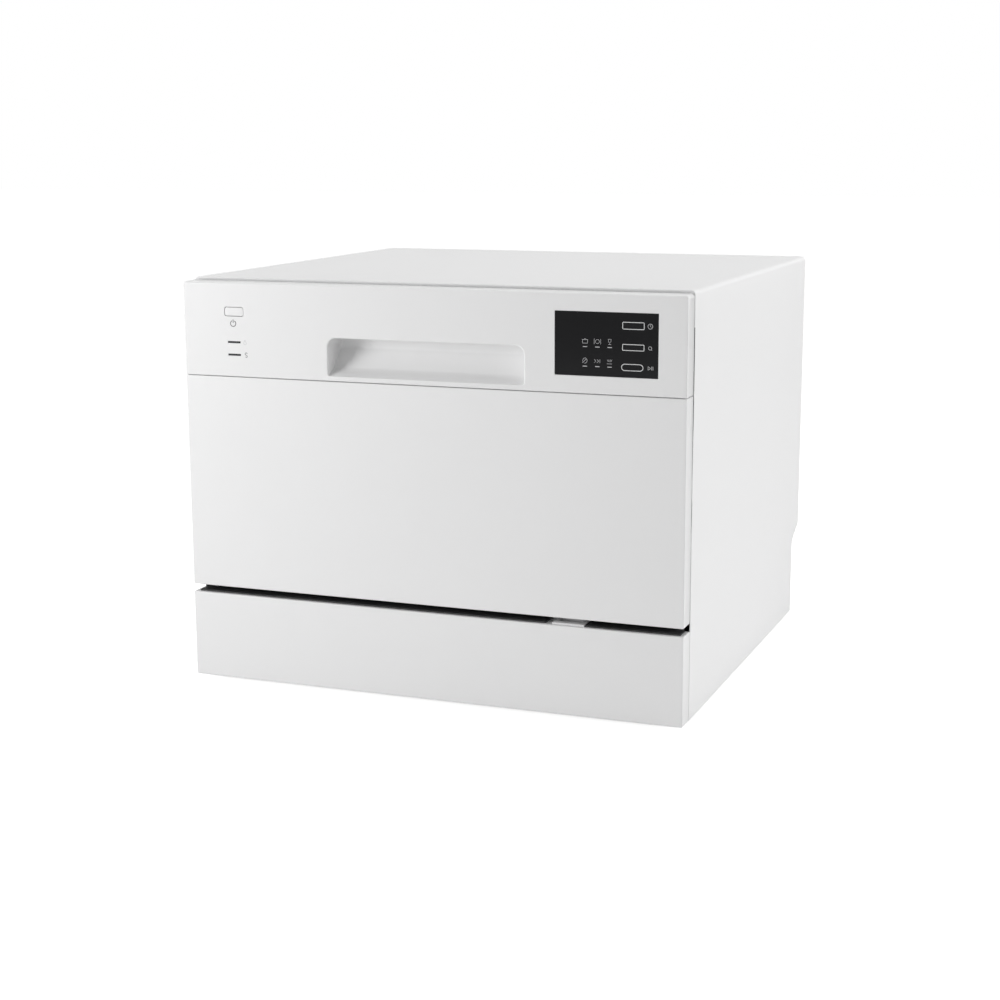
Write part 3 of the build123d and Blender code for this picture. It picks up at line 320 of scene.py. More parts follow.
def makeFinish(name, look):
    # colour varies a little over a wide noise, roughness and bump over a fine one along the grain
    material = bpy.data.materials.new(name)
    material.use_nodes = True
    tree = material.node_tree
    shader = tree.nodes["Principled BSDF"]
    shader.inputs["Metallic"].default_value = look.get("metal", 0.0)
    shader.inputs["IOR"].default_value = look.get("ior", 1.5)
    shader.inputs["Coat Weight"].default_value = look.get("coat", 0.0)
    shader.inputs["Coat Roughness"].default_value = look.get("coatRough", 0.08)
    shader.inputs["Specular IOR Level"].default_value = look.get("specular", 0.5)
    colour = np.array(look["colour"])
    wide = pattern(tree, "ShaderNodeTexNoise", look.get("wideScale", 9.0), look.get("stretch", (1, 1, 1)), Detail=3.0)
    varied = mixColours(tree, wide.outputs["Fac"], colour * (1 - look.get("shade", 0.03)),
                        np.minimum(colour * (1 + look.get("shade", 0.03)), 1.0))
    tree.links.new(varied, shader.inputs["Base Color"])
    grain = pattern(tree, look.get("kind", "ShaderNodeTexNoise"), look["grain"], look.get("stretch", (1, 1, 1)))
    height = grain.outputs["Fac" if "Fac" in grain.outputs else "Distance"]
    tree.links.new(spreadTo(tree, height, *look["rough"]), shader.inputs["Roughness"])
    bump = tree.nodes.new("ShaderNodeBump")
    bump.inputs["Strength"].default_value = look.get("bump", 0.1)
    bump.inputs["Distance"].default_value = look.get("relief", 0.0001)
    tree.links.new(height, bump.inputs["Height"])
    tree.links.new(bump.outputs["Normal"], shader.inputs["Normal"])
    return material


looks = {
    "whitePaint": {"colour": (0.865, 0.865, 0.866), "shade": 0.006, "rough": (0.34, 0.42), "grain": 900.0,
                   "bump": 0.10, "relief": 0.00006, "specular": 0.42},
    "sidePaint": {"colour": (0.865, 0.865, 0.866), "shade": 0.006, "rough": (0.4, 0.48), "grain": 700.0,
                  "bump": 0.16, "relief": 0.00008, "specular": 0.4},
    "whiteMoulding": {"colour": (0.858, 0.858, 0.859), "shade": 0.005, "rough": (0.28, 0.36), "grain": 1400.0,
                      "bump": 0.05, "relief": 0.00004, "specular": 0.45},
    "stainless": {"colour": (0.60, 0.605, 0.61), "shade": 0.05, "metal": 1.0, "rough": (0.24, 0.40), "grain": 1.0,
                  "wideScale": 1.0, "stretch": (9.0, 900.0, 900.0), "bump": 0.12, "relief": 0.00004},
    "stainlessUpright": {"colour": (0.60, 0.605, 0.61), "shade": 0.05, "metal": 1.0, "rough": (0.24, 0.40),
                         "grain": 1.0, "wideScale": 1.0, "stretch": (900.0, 900.0, 9.0), "bump": 0.12,
                         "relief": 0.00004},
    "darkGlass": {"colour": (0.011, 0.011, 0.012), "shade": 0.2, "rough": (0.05, 0.09), "grain": 300.0,
                  "bump": 0.02, "relief": 0.00002, "specular": 0.33},
    "keyBlack": {"colour": (0.010, 0.010, 0.011), "shade": 0.2, "rough": (0.2, 0.3), "grain": 1200.0,
                 "bump": 0.06, "relief": 0.00003, "specular": 0.2},
    "mattBlack": {"colour": (0.022, 0.022, 0.023), "shade": 0.25, "rough": (0.5, 0.7), "grain": 1300.0,
                  "bump": 0.25, "relief": 0.00008},
    "greyRubber": {"colour": (0.10, 0.10, 0.105), "shade": 0.15, "rough": (0.6, 0.8), "grain": 1600.0,
                   "bump": 0.3, "relief": 0.00008},
    "greyMoulding": {"colour": (0.50, 0.51, 0.52), "shade": 0.03, "rough": (0.38, 0.5), "grain": 1500.0,
                     "bump": 0.12, "relief": 0.00006},
    "paleGrey": {"colour": (0.62, 0.63, 0.64), "shade": 0.03, "rough": (0.4, 0.5), "grain": 1500.0,
                 "bump": 0.12, "relief": 0.00006},
    # painted light: a lighter grey than paleGrey, so the guide's faces in shade under the door come out bright
    "guideGreyLit": {"colour": (0.80, 0.80, 0.805), "shade": 0.03, "rough": (0.4, 0.5), "grain": 1500.0,
                  "bump": 0.12, "relief": 0.00006},
    "baseMoulding": {"colour": (0.24, 0.25, 0.26), "shade": 0.08, "rough": (0.5, 0.65), "grain": 1100.0,
                     "bump": 0.3, "relief": 0.0001},
    "naturalPolymer": {"colour": (0.80, 0.80, 0.75), "shade": 0.03, "rough": (0.4, 0.55), "grain": 700.0,
                       "bump": 0.1, "relief": 0.00008},
    "coatedWire": {"colour": (0.42, 0.46, 0.52), "shade": 0.06, "rough": (0.42, 0.55), "grain": 500.0,
                   "bump": 0.2, "relief": 0.00012},
    "smokedLens": {"colour": (0.035, 0.035, 0.038), "shade": 0.2, "rough": (0.12, 0.2), "grain": 800.0,
                   "bump": 0.05, "relief": 0.00003, "coat": 0.2},
    "trimSilver": {"colour": (0.84, 0.845, 0.85), "shade": 0.03, "metal": 0.1, "rough": (0.25, 0.35), "grain": 900.0,
                   "bump": 0.05, "relief": 0.00003},
    "inkLight": {"colour": (0.72, 0.73, 0.74), "shade": 0.05, "rough": (0.5, 0.6), "grain": 2000.0,
                 "bump": 0.1, "relief": 0.00002},
    "inkDim": {"colour": (0.60, 0.60, 0.61), "shade": 0.1, "rough": (0.5, 0.6), "grain": 2000.0,
               "bump": 0.1, "relief": 0.00002},
    "inkGrey": {"colour": (0.07, 0.07, 0.072), "shade": 0.08, "rough": (0.5, 0.6), "grain": 2000.0,
                "bump": 0.1, "relief": 0.00002},
    "inkFaint": {"colour": (0.62, 0.625, 0.63), "shade": 0.05, "rough": (0.5, 0.6), "grain": 2000.0,
                 "bump": 0.1, "relief": 0.00002},
    "pumpBlack": {"colour": (0.05, 0.05, 0.053), "shade": 0.15, "rough": (0.45, 0.6), "grain": 1000.0,
                  "bump": 0.3, "relief": 0.0001},
    "castSteel": {"colour": (0.50, 0.51, 0.52), "shade": 0.08, "metal": 1.0, "rough": (0.35, 0.5), "grain": 800.0,
                  "bump": 0.15, "relief": 0.00006},
}
finishes = {name: makeFinish(name, look) for name, look in looks.items()}


def zincFinish(name, spangle):
    # galvanised sheet: each crystal of the zinc has its own shade and gloss
    material = bpy.data.materials.new(name)
    material.use_nodes = True
    tree = material.node_tree
    shader = tree.nodes["Principled BSDF"]
    shader.inputs["Metallic"].default_value = 0.9
    crystals = pattern(tree, "ShaderNodeTexVoronoi", spangle, (1, 1, 1), Randomness=1.0)
    split = tree.nodes.new("ShaderNodeSeparateColor")
    tree.links.new(crystals.outputs["Color"], split.inputs["Color"])
    tree.links.new(mixColours(tree, split.outputs["Red"], (0.50, 0.515, 0.53), (0.64, 0.65, 0.66)),
                   shader.inputs["Base Color"])
    tree.links.new(spreadTo(tree, split.outputs["Green"], 0.34, 0.5), shader.inputs["Roughness"])
    fine = pattern(tree, "ShaderNodeTexNoise", 1200.0)
    bump = tree.nodes.new("ShaderNodeBump")
    bump.inputs["Strength"].default_value, bump.inputs["Distance"].default_value = 0.12, 0.00005
    tree.links.new(fine.outputs["Fac"], bump.inputs["Height"])
    tree.links.new(bump.outputs["Normal"], shader.inputs["Normal"])
    return material


def wovenFinish(name, colour, pitch):
    # woven strainer cloth: two sets of fine bands crossing, dark where the holes are
    material = bpy.data.materials.new(name)
    material.use_nodes = True
    tree = material.node_tree
    shader = tree.nodes["Principled BSDF"]
    shader.inputs["Metallic"].default_value = 0.9
    shader.inputs["Roughness"].default_value = 0.35
    bands = [pattern(tree, "ShaderNodeTexWave", pitch, bands_direction=way) for way in ("X", "Z")]
    crossing = tree.nodes.new("ShaderNodeMath")
    crossing.operation = "MULTIPLY"
    for index, band in enumerate(bands):
        tree.links.new(band.outputs["Fac"], crossing.inputs[index])
    tree.links.new(mixColours(tree, crossing.outputs["Value"], colour, (0.03, 0.03, 0.03)), shader.inputs["Base Color"])
    bump = tree.nodes.new("ShaderNodeBump")
    bump.inputs["Strength"].default_value, bump.inputs["Distance"].default_value = 0.5, 0.0002
    tree.links.new(crossing.outputs["Value"], bump.inputs["Height"])
    tree.links.new(bump.outputs["Normal"], shader.inputs["Normal"])
    return material


def cellFinish(name, dark, light, scale, rough, relief):
    # small round cells, for foam beads and for a board's copper lands
    material = bpy.data.materials.new(name)
    material.use_nodes = True
    tree = material.node_tree
    shader = tree.nodes["Principled BSDF"]
    cells = pattern(tree, "ShaderNodeTexVoronoi", scale)
    tree.links.new(mixColours(tree, cells.outputs["Distance"], light, dark), shader.inputs["Base Color"])
    tree.links.new(spreadTo(tree, cells.outputs["Distance"], *rough), shader.inputs["Roughness"])
    bump = tree.nodes.new("ShaderNodeBump")
    bump.inputs["Strength"].default_value, bump.inputs["Distance"].default_value = 0.5, relief
    bump.invert = True
    tree.links.new(cells.outputs["Distance"], bump.inputs["Height"])
    tree.links.new(bump.outputs["Normal"], shader.inputs["Normal"])
    return material


finishes["zincSheet"] = zincFinish("zincSheet", 55.0)
finishes["zincPart"] = zincFinish("zincPart", 260.0)
finishes["strainerCloth"] = wovenFinish("strainerCloth", (0.55, 0.56, 0.57), 260.0)
finishes["foamBeads"] = cellFinish("foamBeads", (0.70, 0.70, 0.68), (0.90, 0.90, 0.88), 380.0, (0.7, 0.85), 0.0004)
finishes["boardGreen"] = cellFinish("boardGreen", (0.02, 0.13, 0.06), (0.10, 0.30, 0.14), 300.0, (0.3, 0.5), 0.0001)
print("finishes made:", len(finishes))

# ---- floor, world and lamps
studio = {"worldLight": 0.26, "floorTone": 0.86, "floorLift": 0.80, "lamps": {
    "leftLamp": ((-2.0, -1.9, 0.9), (-0.1, -0.26, 0.3), (1.3, 1.1), 32.8),
    "lowLamp": ((-1.5, -1.5, 0.40), (-0.1, -0.26, 0.3), (0.6, 0.6), 6.3),
    "sideLamp": ((2.3, 0.1, 0.8), (0.27, 0.0, 0.25), (1.6, 1.4), 26.2),
    "topLamp": ((0.1, 0.3, 2.6), (0, 0, 0.4), (1.6, 1.6), 20.9),
}}


def addStage():
    # one wide floor; its colour is lifted towards white only where the camera sees it
    mesh = bpy.data.meshes.new("floor")
    mesh.from_pydata([(-14, -14, -0.0002), (14, -14, -0.0002), (14, 14, -0.0002), (-14, 14, -0.0002)], [],
                     [(0, 1, 2, 3)])
    material = bpy.data.materials.new("floorWhite")
    material.use_nodes = True
    tree = material.node_tree
    tree.nodes.clear()
    output = tree.nodes.new("ShaderNodeOutputMaterial")
    plain = tree.nodes.new("ShaderNodeBsdfDiffuse")
    plain.inputs["Color"].default_value = (*[studio["floorTone"]] * 3, 1)
    lift = tree.nodes.new("ShaderNodeEmission")
    rays = tree.nodes.new("ShaderNodeLightPath")
    seen = tree.nodes.new("ShaderNodeMath")
    seen.operation = "MULTIPLY"
    seen.inputs[1].default_value = studio["floorLift"]
    total = tree.nodes.new("ShaderNodeAddShader")
    tree.links.new(rays.outputs["Is Camera Ray"], seen.inputs[0])
    tree.links.new(seen.outputs["Value"], lift.inputs["Strength"])
    tree.links.new(plain.outputs["BSDF"], total.inputs[0])
    tree.links.new(lift.outputs["Emission"], total.inputs[1])
    tree.links.new(total.outputs["Shader"], output.inputs["Surface"])
    mesh.materials.append(material)
    floor = bpy.data.objects.new("floor", mesh)
    bpy.context.scene.collection.objects.link(floor)


def addWorld():
    # pale grey light from all round; white where the camera or a reflection looks at it
    world = bpy.data.worlds.new("studioWorld")
    world.use_nodes = True
    tree = world.node_tree
    background = tree.nodes["Background"]
    rays = tree.nodes.new("ShaderNodeLightPath")
    either = tree.nodes.new("ShaderNodeMath")
    either.operation = "MAXIMUM"
    level = tree.nodes.new("ShaderNodeMapRange")
    level.inputs["To Min"].default_value, level.inputs["To Max"].default_value = studio["worldLight"], 1.0
    mirrored = tree.nodes.new("ShaderNodeMath")
    mirrored.operation = "MAXIMUM"
    tree.links.new(rays.outputs["Is Camera Ray"], either.inputs[0])
    tree.links.new(rays.outputs["Is Transmission Ray"], either.inputs[1])
    tree.links.new(either.outputs["Value"], mirrored.inputs[0])
    tree.links.new(rays.outputs["Is Glossy Ray"], mirrored.inputs[1])
    tree.links.new(mirrored.outputs["Value"], level.inputs["Value"])
    tree.links.new(level.outputs["Result"], background.inputs["Strength"])
    background.inputs["Color"].default_value = (1, 1, 1, 1)
    bpy.context.scene.world = world


def addLamp(name, place, aim, size, power):
    data = bpy.data.lights.new(name, "AREA")
    data.shape, data.size, data.size_y, data.energy = "RECTANGLE", size[0], size[1], power
    lamp = bpy.data.objects.new(name, data)
    bpy.context.scene.collection.objects.link(lamp)
    back = unit(np.array(place, float) - np.array(aim, float))
    right = unit(np.cross((0, 0, 1.0), back))
    axes = np.eye(4)
    axes[:3, 0], axes[:3, 1], axes[:3, 2], axes[:3, 3] = right, np.cross(back, right), back, place
    lamp.matrix_world = Matrix(axes.tolist())


addStage()
addWorld()
for lampName, setting in studio["lamps"].items():
    addLamp(lampName, *setting)
print("stage and lamps set")


# ---- sheet fronts: an outline whose edge turns back over a bend radius into a folded return
def sideValue(angle, bottom, right, top, left):
    # a value given for each side, running smoothly round the corners between them
    return np.interp(angle, [-90, 0, 90, 180, 270], [bottom, right, top, left, bottom])


def foldedRings(limits, corner, face, rear, bends, lip=0.0, steps=7):
    # rings from the inner edge of the returns, forward along them, round the bend to the flat face:
    # inset = bend * (1 - cos a) and depth = bend * (1 - sin a), with a from 0 at the side to 90 at the face
    bends = np.array(bends, float)

    def ring(insets, y):
        points, normals, angles = insetLoop(limits, corner, insets, 8)
        return atDepth(points, sideValue(angles, *y) if np.ndim(y) else y)

    rings = [ring(lip, rear), ring(0.0012, rear), ring(0.0003, rear - 0.0003), ring(0, rear - 0.0012)] if lip \
        else [ring(0, rear)]
    rings.append(ring(0, face + bends + 0.0004))
    for turn in np.radians(np.linspace(0, 90, steps)):
        rings.append(ring(bends * (1 - math.cos(turn)), face + bends * (1 - math.sin(turn))))
    rings.append(ring(bends + 0.0006, face))
    return np.stack(rings)


def flatSheet(name, limits, depth, corner, bends, rider, finish, slotName, replaced, wall, lip, notches=()):
    # the fold rings, closed by one flat face, and given the thickness of the metal
    face = body["front"] + body["paintFace"]
    rings = foldedRings(limits, corner, face, body["front"] + depth, bends, lip)
    shell = Shell().grid(rings, closedColumns=True, caps=("last",))
    piece = shell.build(name, rider, finish, slotName, replaced, angle=50, outward=False)
    for notch in notches:
        cutNotch(piece.data, *notch)
    return thicken(piece, wall, (0, -1, 0))


kick = {"corner": 0.0014, "bends": (0.0014, 0.0014, 0.0014, 0.0014), "wall": 0.0009, "lip": 0.006, "depth": 0.0241}
flatSheet("kickSheet", (-0.275, 0.275, body["footRise"], body["kickTop"]), kick["depth"], kick["corner"],
          kick["bends"], "cabinet", "whitePaint", "white_paint", ("kick_plate",), kick["wall"], kick["lip"])

doorSkin = {"corner": (0.0016, 0.0012, 0.0012, 0.0016), "bends": (0.0016, 0.0014, 0.0012, 0.0014), "wall": 0.0009,
            "notchFront": 0.0056}
hingeNotches = [(x - 0.00755, x + 0.00755, body["front"] + doorSkin["notchFront"], 0.0, 0.1, 0.1082)
                for x in (-0.26585, 0.26585)]
flatSheet("doorSkin", (-0.275, 0.275, body["doorBottom"], body["seam"] - 0.0006), body["skinDepth"],
          doorSkin["corner"], doorSkin["bends"], "door", "whitePaint", "white_paint", ("door_outer_panel",),
          doorSkin["wall"], 0.0, hingeNotches)
print("sheet fronts made")

# ---- control panel with its scooped handle, window seat and key holes
panel = {
    "corner": (0.0012, 0.004, 0.004, 0.0012), "bends": (0.0012, 0.0014, 0.0026, 0.0014), "wall": 0.0021,
    "handle": (-0.107, 0.108, 0.3419, 0.3807), "handleCorner": 0.009, "lipRadius": 0.0014,
    "handleDepth": 0.0296, "window": (0.1402, 0.2458, 0.3538, 0.4168),
    "powerKey": (-0.2147, 0.4044, 0.0215, 0.0089), "keyGap": 0.0005,
    "lens": (-0.2230, -0.2080), "lensHeights": (0.3725, 0.3593), "lensHalf": 0.0011,
}


def handleFloor(z):
    # depth of the scoop's floor for a height: shallow at the bottom, then a long slope, then the back wall
    low, high = panel["handle"][2], panel["handle"][3]
    heights = np.linspace(low - 0.012, high + 0.012, 400)
    knots = [low - 0.012, low, low + 0.0008, low + 0.006, high - 0.012, high + 0.012]
    raw = np.interp(heights, knots, [0.001, 0.0022, 0.0034, 0.0135, panel["handleDepth"], panel["handleDepth"]])
    kernel = np.exp(-np.linspace(-2, 2, 41) ** 2)
    padded = np.pad(raw, 20, mode="edge")
    smooth = np.convolve(padded, kernel / kernel.sum(), mode="valid")
    return np.interp(z, heights, smooth)


def handleRings(face):
    # rings inside the finger opening: a quarter round lip, the wall, a rounded foot and the back;
    # each point stops at the scoop's floor, min(wall depth, floor depth), eased where the two meet
    corner = (0.0025, panel["handleCorner"], panel["handleCorner"], 0.0025)
    low, high = panel["handle"][2:]
    lip, deep, foot = panel["lipRadius"], panel["handleDepth"], 0.004
    turn = np.radians(np.linspace(0, 90, 6))
    insets = [-lip - 0.0006, *(-lip * (1 - np.sin(turn)))]
    depths = [0.0, *(lip * (1 - np.cos(turn)))]
    wallDepths = np.linspace(lip, deep - foot, 12)[1:]
    insets += list(0.0006 * (wallDepths / deep))
    depths += list(wallDepths)
    insets += list(0.0006 + foot * (1 - np.cos(turn))[1:])
    depths += list(deep - foot + foot * np.sin(turn)[1:])
    insets += list(np.linspace(0.0065, (high - low) / 2 - 0.0008, 14))
    depths += [deep] * 14
    rings = []
    for inset, depth in zip(insets, depths):
        place, normals, angles = insetLoop(panel["handle"], corner, inset, 10, (24, 14))
        floor = handleFloor(place[:, 1])
        ease = 0.0009
        h = np.clip(0.5 + 0.5 * (floor - depth) / ease, 0, 1)
        y = np.where(depth < 0.0016, depth, floor * (1 - h) + depth * h - ease * h * (1 - h))
        rings.append(atDepth(place, face + np.maximum(y, min(depth, 0.0016))))
    return np.stack(rings)


def holeRings(loop, normals, face, lip, depth):
    # a small rounded edge and a straight wall going back, for a hole through the panel
    turn = np.radians(np.linspace(0, 90, 4))
    rings = [atDepth(loop + normals * (lip + 0.0003), face)]
    rings += [atDepth(loop + normals * lip * (1 - math.sin(a)), face + lip * (1 - math.cos(a))) for a in turn]
    rings.append(atDepth(loop, face + depth))
    return np.stack(rings)


def plateMesh(name, outer, holes, face):
    # edge rings and hole rings joined by one flat face; the first hole ends in its own back wall
    shell = Shell().grid(outer, closedColumns=True)
    for index, rings in enumerate(holes):
        shell.grid(rings, closedColumns=True, caps=("last",) if index == 0 and len(rings) > 20 else ())
    mesh = bpy.data.meshes.new(name)
    mesh.from_pydata(np.concatenate(shell.points).tolist(), [], shell.faces)
    work = bmesh.new()
    work.from_mesh(mesh)
    bmesh.ops.remove_doubles(work, verts=work.verts, dist=2e-6)
    flat = [e for e in work.edges if e.is_boundary and all(abs(v.co.y - face) < 1e-7 for v in e.verts)]
    bmesh.ops.triangle_fill(work, use_beauty=True, use_dissolve=False, edges=flat)
    bmesh.ops.recalc_face_normals(work, faces=work.faces)
    work.to_mesh(mesh)
    work.free()
    return mesh


def addControlPanel():
    face = body["front"] + body["paintFace"]
    limits = (-body["sideX"], body["sideX"], body["seam"], body["panelTop"])
    outer = foldedRings(limits, panel["corner"], face, body["front"] + body["skinDepth"], panel["bends"])
    x, z, wide, high = panel["powerKey"]
    gap = panel["keyGap"]
    holes = [handleRings(face)]
    shapes = [(*panel["window"], 0.0004, 0.0004, 0.0024),
              (x - wide / 2 - gap, x + wide / 2 + gap, z - high / 2 - gap, z + high / 2 + gap, 0.0023, 0.0003, 0.004)]
    for height in panel["lensHeights"]:
        shapes.append((*panel["lens"], height - panel["lensHalf"], height + panel["lensHalf"], 0.0002, 0.0001, 0.003))
    for x0, x1, z0, z1, corner, lip, depth in shapes:
        points, normals, angles = loopOf(x0, x1, z0, z1, corner, 5)
        holes.append(holeRings(points, normals, face, lip, depth))
    mesh = plateMesh("controlPanelShell", outer, holes, face)
    piece = placePiece("controlPanelShell", mesh, "door", "whiteMoulding", ("control_panel",), 50)
    return thicken(piece, panel["wall"], (0, -1, 0))


addControlPanel()
print("control panel made")

# ---- outer wrap: the section of one folded sheet carried from front to back, its front edge folded in
wrap = {"bend": 0.005, "hem": 0.0038, "wall": 0.001, "recessY": 0.2295, "recessZ": 0.094, "recessTop": 0.109,
        "recessRound": 0.014, "hemLow": 0.1149, "roll": 0.0009, "hemDepth": 0.012}


def wrapRear(z):
    # where the sheet ends at the back for a height: the side is cut away low down, with a rounded corner
    slope = math.atan2(wrap["recessTop"] - wrap["recessZ"], 0.261 - wrap["recessY"])
    reach = wrap["recessRound"] * math.tan((math.pi / 2 - slope) / 2)
    turn = np.linspace(0, math.pi / 2 - slope, 9)
    cy, cz = wrap["recessY"] + wrap["recessRound"], wrap["recessZ"] - reach
    y = cy - wrap["recessRound"] * np.cos(turn)
    height = cz + wrap["recessRound"] * np.sin(turn)
    far = 0.109 + (body["rear"] - 0.261) * math.tan(slope)
    return np.interp(z, [0, *height, far, far + 1e-5, 1], [wrap["recessY"], *y, body["rear"], body["rear"], body["rear"]])


def addWrap():
    # s runs up the left side, over the top and down the right; t runs from front to back
    side, top, bend = body["sideX"] - 0.00005, body["top"] - 0.00005, wrap["bend"]
    rise = np.unique(np.concatenate([np.linspace(body["footRise"], 0.08, 8), np.linspace(0.08, 0.1105, 24),
                                     np.linspace(0.1105, top - bend, 14)]))
    turn = np.radians(np.linspace(0, 90, 9))
    left = np.stack([np.full(len(rise), -side), rise], -1)
    corner = np.stack([-side + bend * (1 - np.cos(turn)), top - bend + bend * np.sin(turn)], -1)
    half = np.concatenate([left, corner[1:], [[-0.12, top]]])
    section = np.concatenate([half, half[::-1] * [-1, 1]])
    lean = np.arctan2(np.gradient(section[:, 1]), np.gradient(section[:, 0]))
    normal = np.stack([-np.sin(lean), np.cos(lean)], -1)
    front, rear = body["cabinetFront"], wrapRear(section[:, 1])
    hemHere = np.where(section[:, 1] > wrap["hemLow"], wrap["hem"], wrap["wall"])
    roll = np.minimum(hemHere * 0.4, wrap["roll"])
    edge = roll * 0.4
    rows = [(front + wrap["hemDepth"], hemHere), (front + edge, hemHere), (front, hemHere - edge)]
    for a in np.radians(np.linspace(90, 0, 8)):
        rows.append((front + roll * (1 - np.sin(a)), roll * (1 - np.cos(a))))
    for t in (0.012, 0.1, 0.3, 0.5, 0.7, 0.9, 0.985, 1.0):
        rows.append((front + (rear - front) * t, 0 * roll))
    grid = []
    for y, inset in rows:
        place = section - normal * np.broadcast_to(inset, len(section))[:, None]
        place[:, 1] = np.maximum(place[:, 1], body["footRise"])
        grid.append(np.stack([place[:, 0], np.broadcast_to(y, len(section)), place[:, 1]], -1))
    for y, inset in ((rear, wrap["wall"]), (np.minimum(rear, body["rear"]), wrap["wall"])):
        place = section - normal * inset
        place[:, 1] = np.maximum(place[:, 1], body["footRise"])
        grid.append(np.stack([place[:, 0], y, place[:, 1]], -1))
    inner = section - normal * wrap["wall"]
    inner[:, 1] = np.maximum(inner[:, 1], body["footRise"])
    for t in (0.9, 0.5, 0.1, 0.0):
        y = front + (rear - front) * t
        grid.append(np.stack([inner[:, 0], np.maximum(y, front + 0.0121), inner[:, 1]], -1))
    shell = Shell().grid(np.stack(grid), closedRows=True)
    shell.build("outerSheet", "cabinet", "sidePaint", "white_paint", ("outer_wrap",), angle=50)


addWrap()
print("outer wrap made")

# ---- display window, its keys and the printed signs
display = {"face": 0.0003, "thick": 0.0021, "corner": 0.0004, "edge": 0.0003, "gap": 0.0001,
           "keys": {"delay_button": (0.2204, 0.4042, 0.0076, 0.0008),
                    "program_button": (0.2204, 0.3832, 0.0068, 0.0008),
                    "start_button": (0.2196, 0.3638, 0.0072, 0.0031)},
           "keyWide": 0.0226, "keyFace": 0.0005, "outline": 0.0006, "ink": 0.00008}


def addWindow():
    x0, x1, z0, z1 = panel["window"]
    gap, face = display["gap"], body["front"] + display["face"]
    limits = (x0 + gap, x1 - gap, z0 + gap, z1 - gap)
    outer = foldedRings(limits, display["corner"], face, face + display["thick"], [display["edge"]] * 4)
    holes = []
    wide = display["keyWide"]
    for x, z, high, corner in display["keys"].values():
        box = (x - wide / 2 - 0.0003, x + wide / 2 + 0.0003, z - high / 2 - 0.0003, z + high / 2 + 0.0003)
        points, normals, angles = loopOf(*box, corner + 0.0003, 6)
        holes.append(holeRings(points, normals, face, 0.0002, display["thick"]))
    mesh = plateMesh("windowInlay", outer, holes, face)
    piece = placePiece("windowInlay", mesh, "door", "darkGlass", ("display_window",), 40)
    flipIfInward(piece.data, (0, -1, 0))


def keyCap(name, rider, x, z, wide, high, corner, face, finish, slotName):
    # cap: straight wall, small round edge and a faint dome, height = dome * (1 - r^2) over the face
    limits = (x - wide / 2, x + wide / 2, z - high / 2, z + high / 2)
    front, edge = body["front"] + face, 0.0006
    rings = [atDepth(insetLoop(limits, corner, 0, 8, (6, 3))[0], front + 0.0055)]
    for turn in np.radians(np.linspace(0, 90, 6)):
        points = insetLoop(limits, corner, edge * (1 - math.cos(turn)), 8, (6, 3))[0]
        rings.append(atDepth(points, front + edge * (1 - math.sin(turn)) + 0.0001))
    for share in (0.75, 0.5, 0.25, 0.04):
        points = np.array([x, z]) + (insetLoop(limits, corner, edge, 8, (6, 3))[0] - [x, z]) * share
        rings.append(atDepth(points, front + 0.0001 * share ** 2))
    shell = Shell().grid(np.stack(rings), closedColumns=True, caps=("first", "last"))
    collar = (x - wide / 2 - 0.0012, x + wide / 2 + 0.0012, z - high / 2 - 0.0012, z + high / 2 + 0.0012)
    flange = [atDepth(loopOf(*collar, 0.002, 4)[0], body["front"] + y) for y in (0.0056, 0.007)]
    shell.grid(np.stack(flange), closedColumns=True, caps=("first", "last"))
    stem = [atDepth(loopOf(x - 0.003, x + 0.003, z - 0.002, z + 0.002, 0.0005, 3)[0], body["front"] + y)
            for y in (0.007, 0.0134)]
    shell.grid(np.stack(stem), closedColumns=True, caps=("first", "last"))
    return shell.build(name + "Cap", rider, finish, slotName, (rider,), 40)


def ribbon(shell, path, width, front, closed=False):
    # a printed line: a flat strip of even width along a path in the face, with a hair of thickness
    path = np.asarray(path, float)
    ahead = unit(np.roll(path, -1, 0) - np.roll(path, 1, 0)) if closed else unit(np.gradient(path, axis=0))
    side = np.stack([ahead[:, 1], -ahead[:, 0]], -1) * width / 2
    depth = display["ink"]
    columns = [atDepth(path + side, front), atDepth(path - side, front), atDepth(path - side, front + depth),
               atDepth(path + side, front + depth)]
    grid = np.stack(columns, 1)
    if closed:
        shell.grid(grid, closedRows=True, closedColumns=True)
    else:
        shell.grid(grid, closedColumns=True, caps=("first", "last"))


def arc(cx, cz, radius, start, end, count=25):
    turn = np.radians(np.linspace(start, end, count))
    return np.stack([cx + radius * np.cos(turn), cz + radius * np.sin(turn)], -1)


def line(*points, count=2):
    corners = np.array(points, float)
    steps = np.linspace(0, len(corners) - 1, (len(corners) - 1) * count + 1)
    return np.stack([np.interp(steps, np.arange(len(corners)), corners[:, axis]) for axis in (0, 1)], -1)


def sign(name, rider, centre, strokes, width, front, finish, slotName, rings=()):
    # strokes are open lines and rings are closed ones, in millimetres from the centre
    shell = Shell()
    middle = np.array(centre)
    for stroke in strokes:
        ribbon(shell, stroke * 0.001 + middle, width, front)
    for ring in rings:
        ribbon(shell, ring[:-1] * 0.001 + middle, width, front, closed=True)
    return shell.build(name, rider, finish, slotName, (), 30)


def addKeys():
    wide = display["keyWide"]
    for name, (x, z, high, corner) in display["keys"].items():
        keyCap(name, name, x, z, wide, high, corner, display["keyFace"], "keyBlack", "button_silver")
        limits = (x - wide / 2 + 0.0005, x + wide / 2 - 0.0005, z - high / 2 + 0.0005, z + high / 2 - 0.0005)
        path = loopOf(*limits, corner, 6, (6, 3))[0]
        shell = Shell()
        front = body["front"] + display["keyFace"] - 0.00005
        ribbon(shell, path, display["outline"], front, closed=True)
        shell.build(name + "Outline", name, "trimSilver", "button_silver", (), 30)
    x, z, wide, high = panel["powerKey"]
    keyCap("power_button", "power_button", x, z, wide, high, 0.002, 0.00015, "whiteMoulding", "white_plastic")


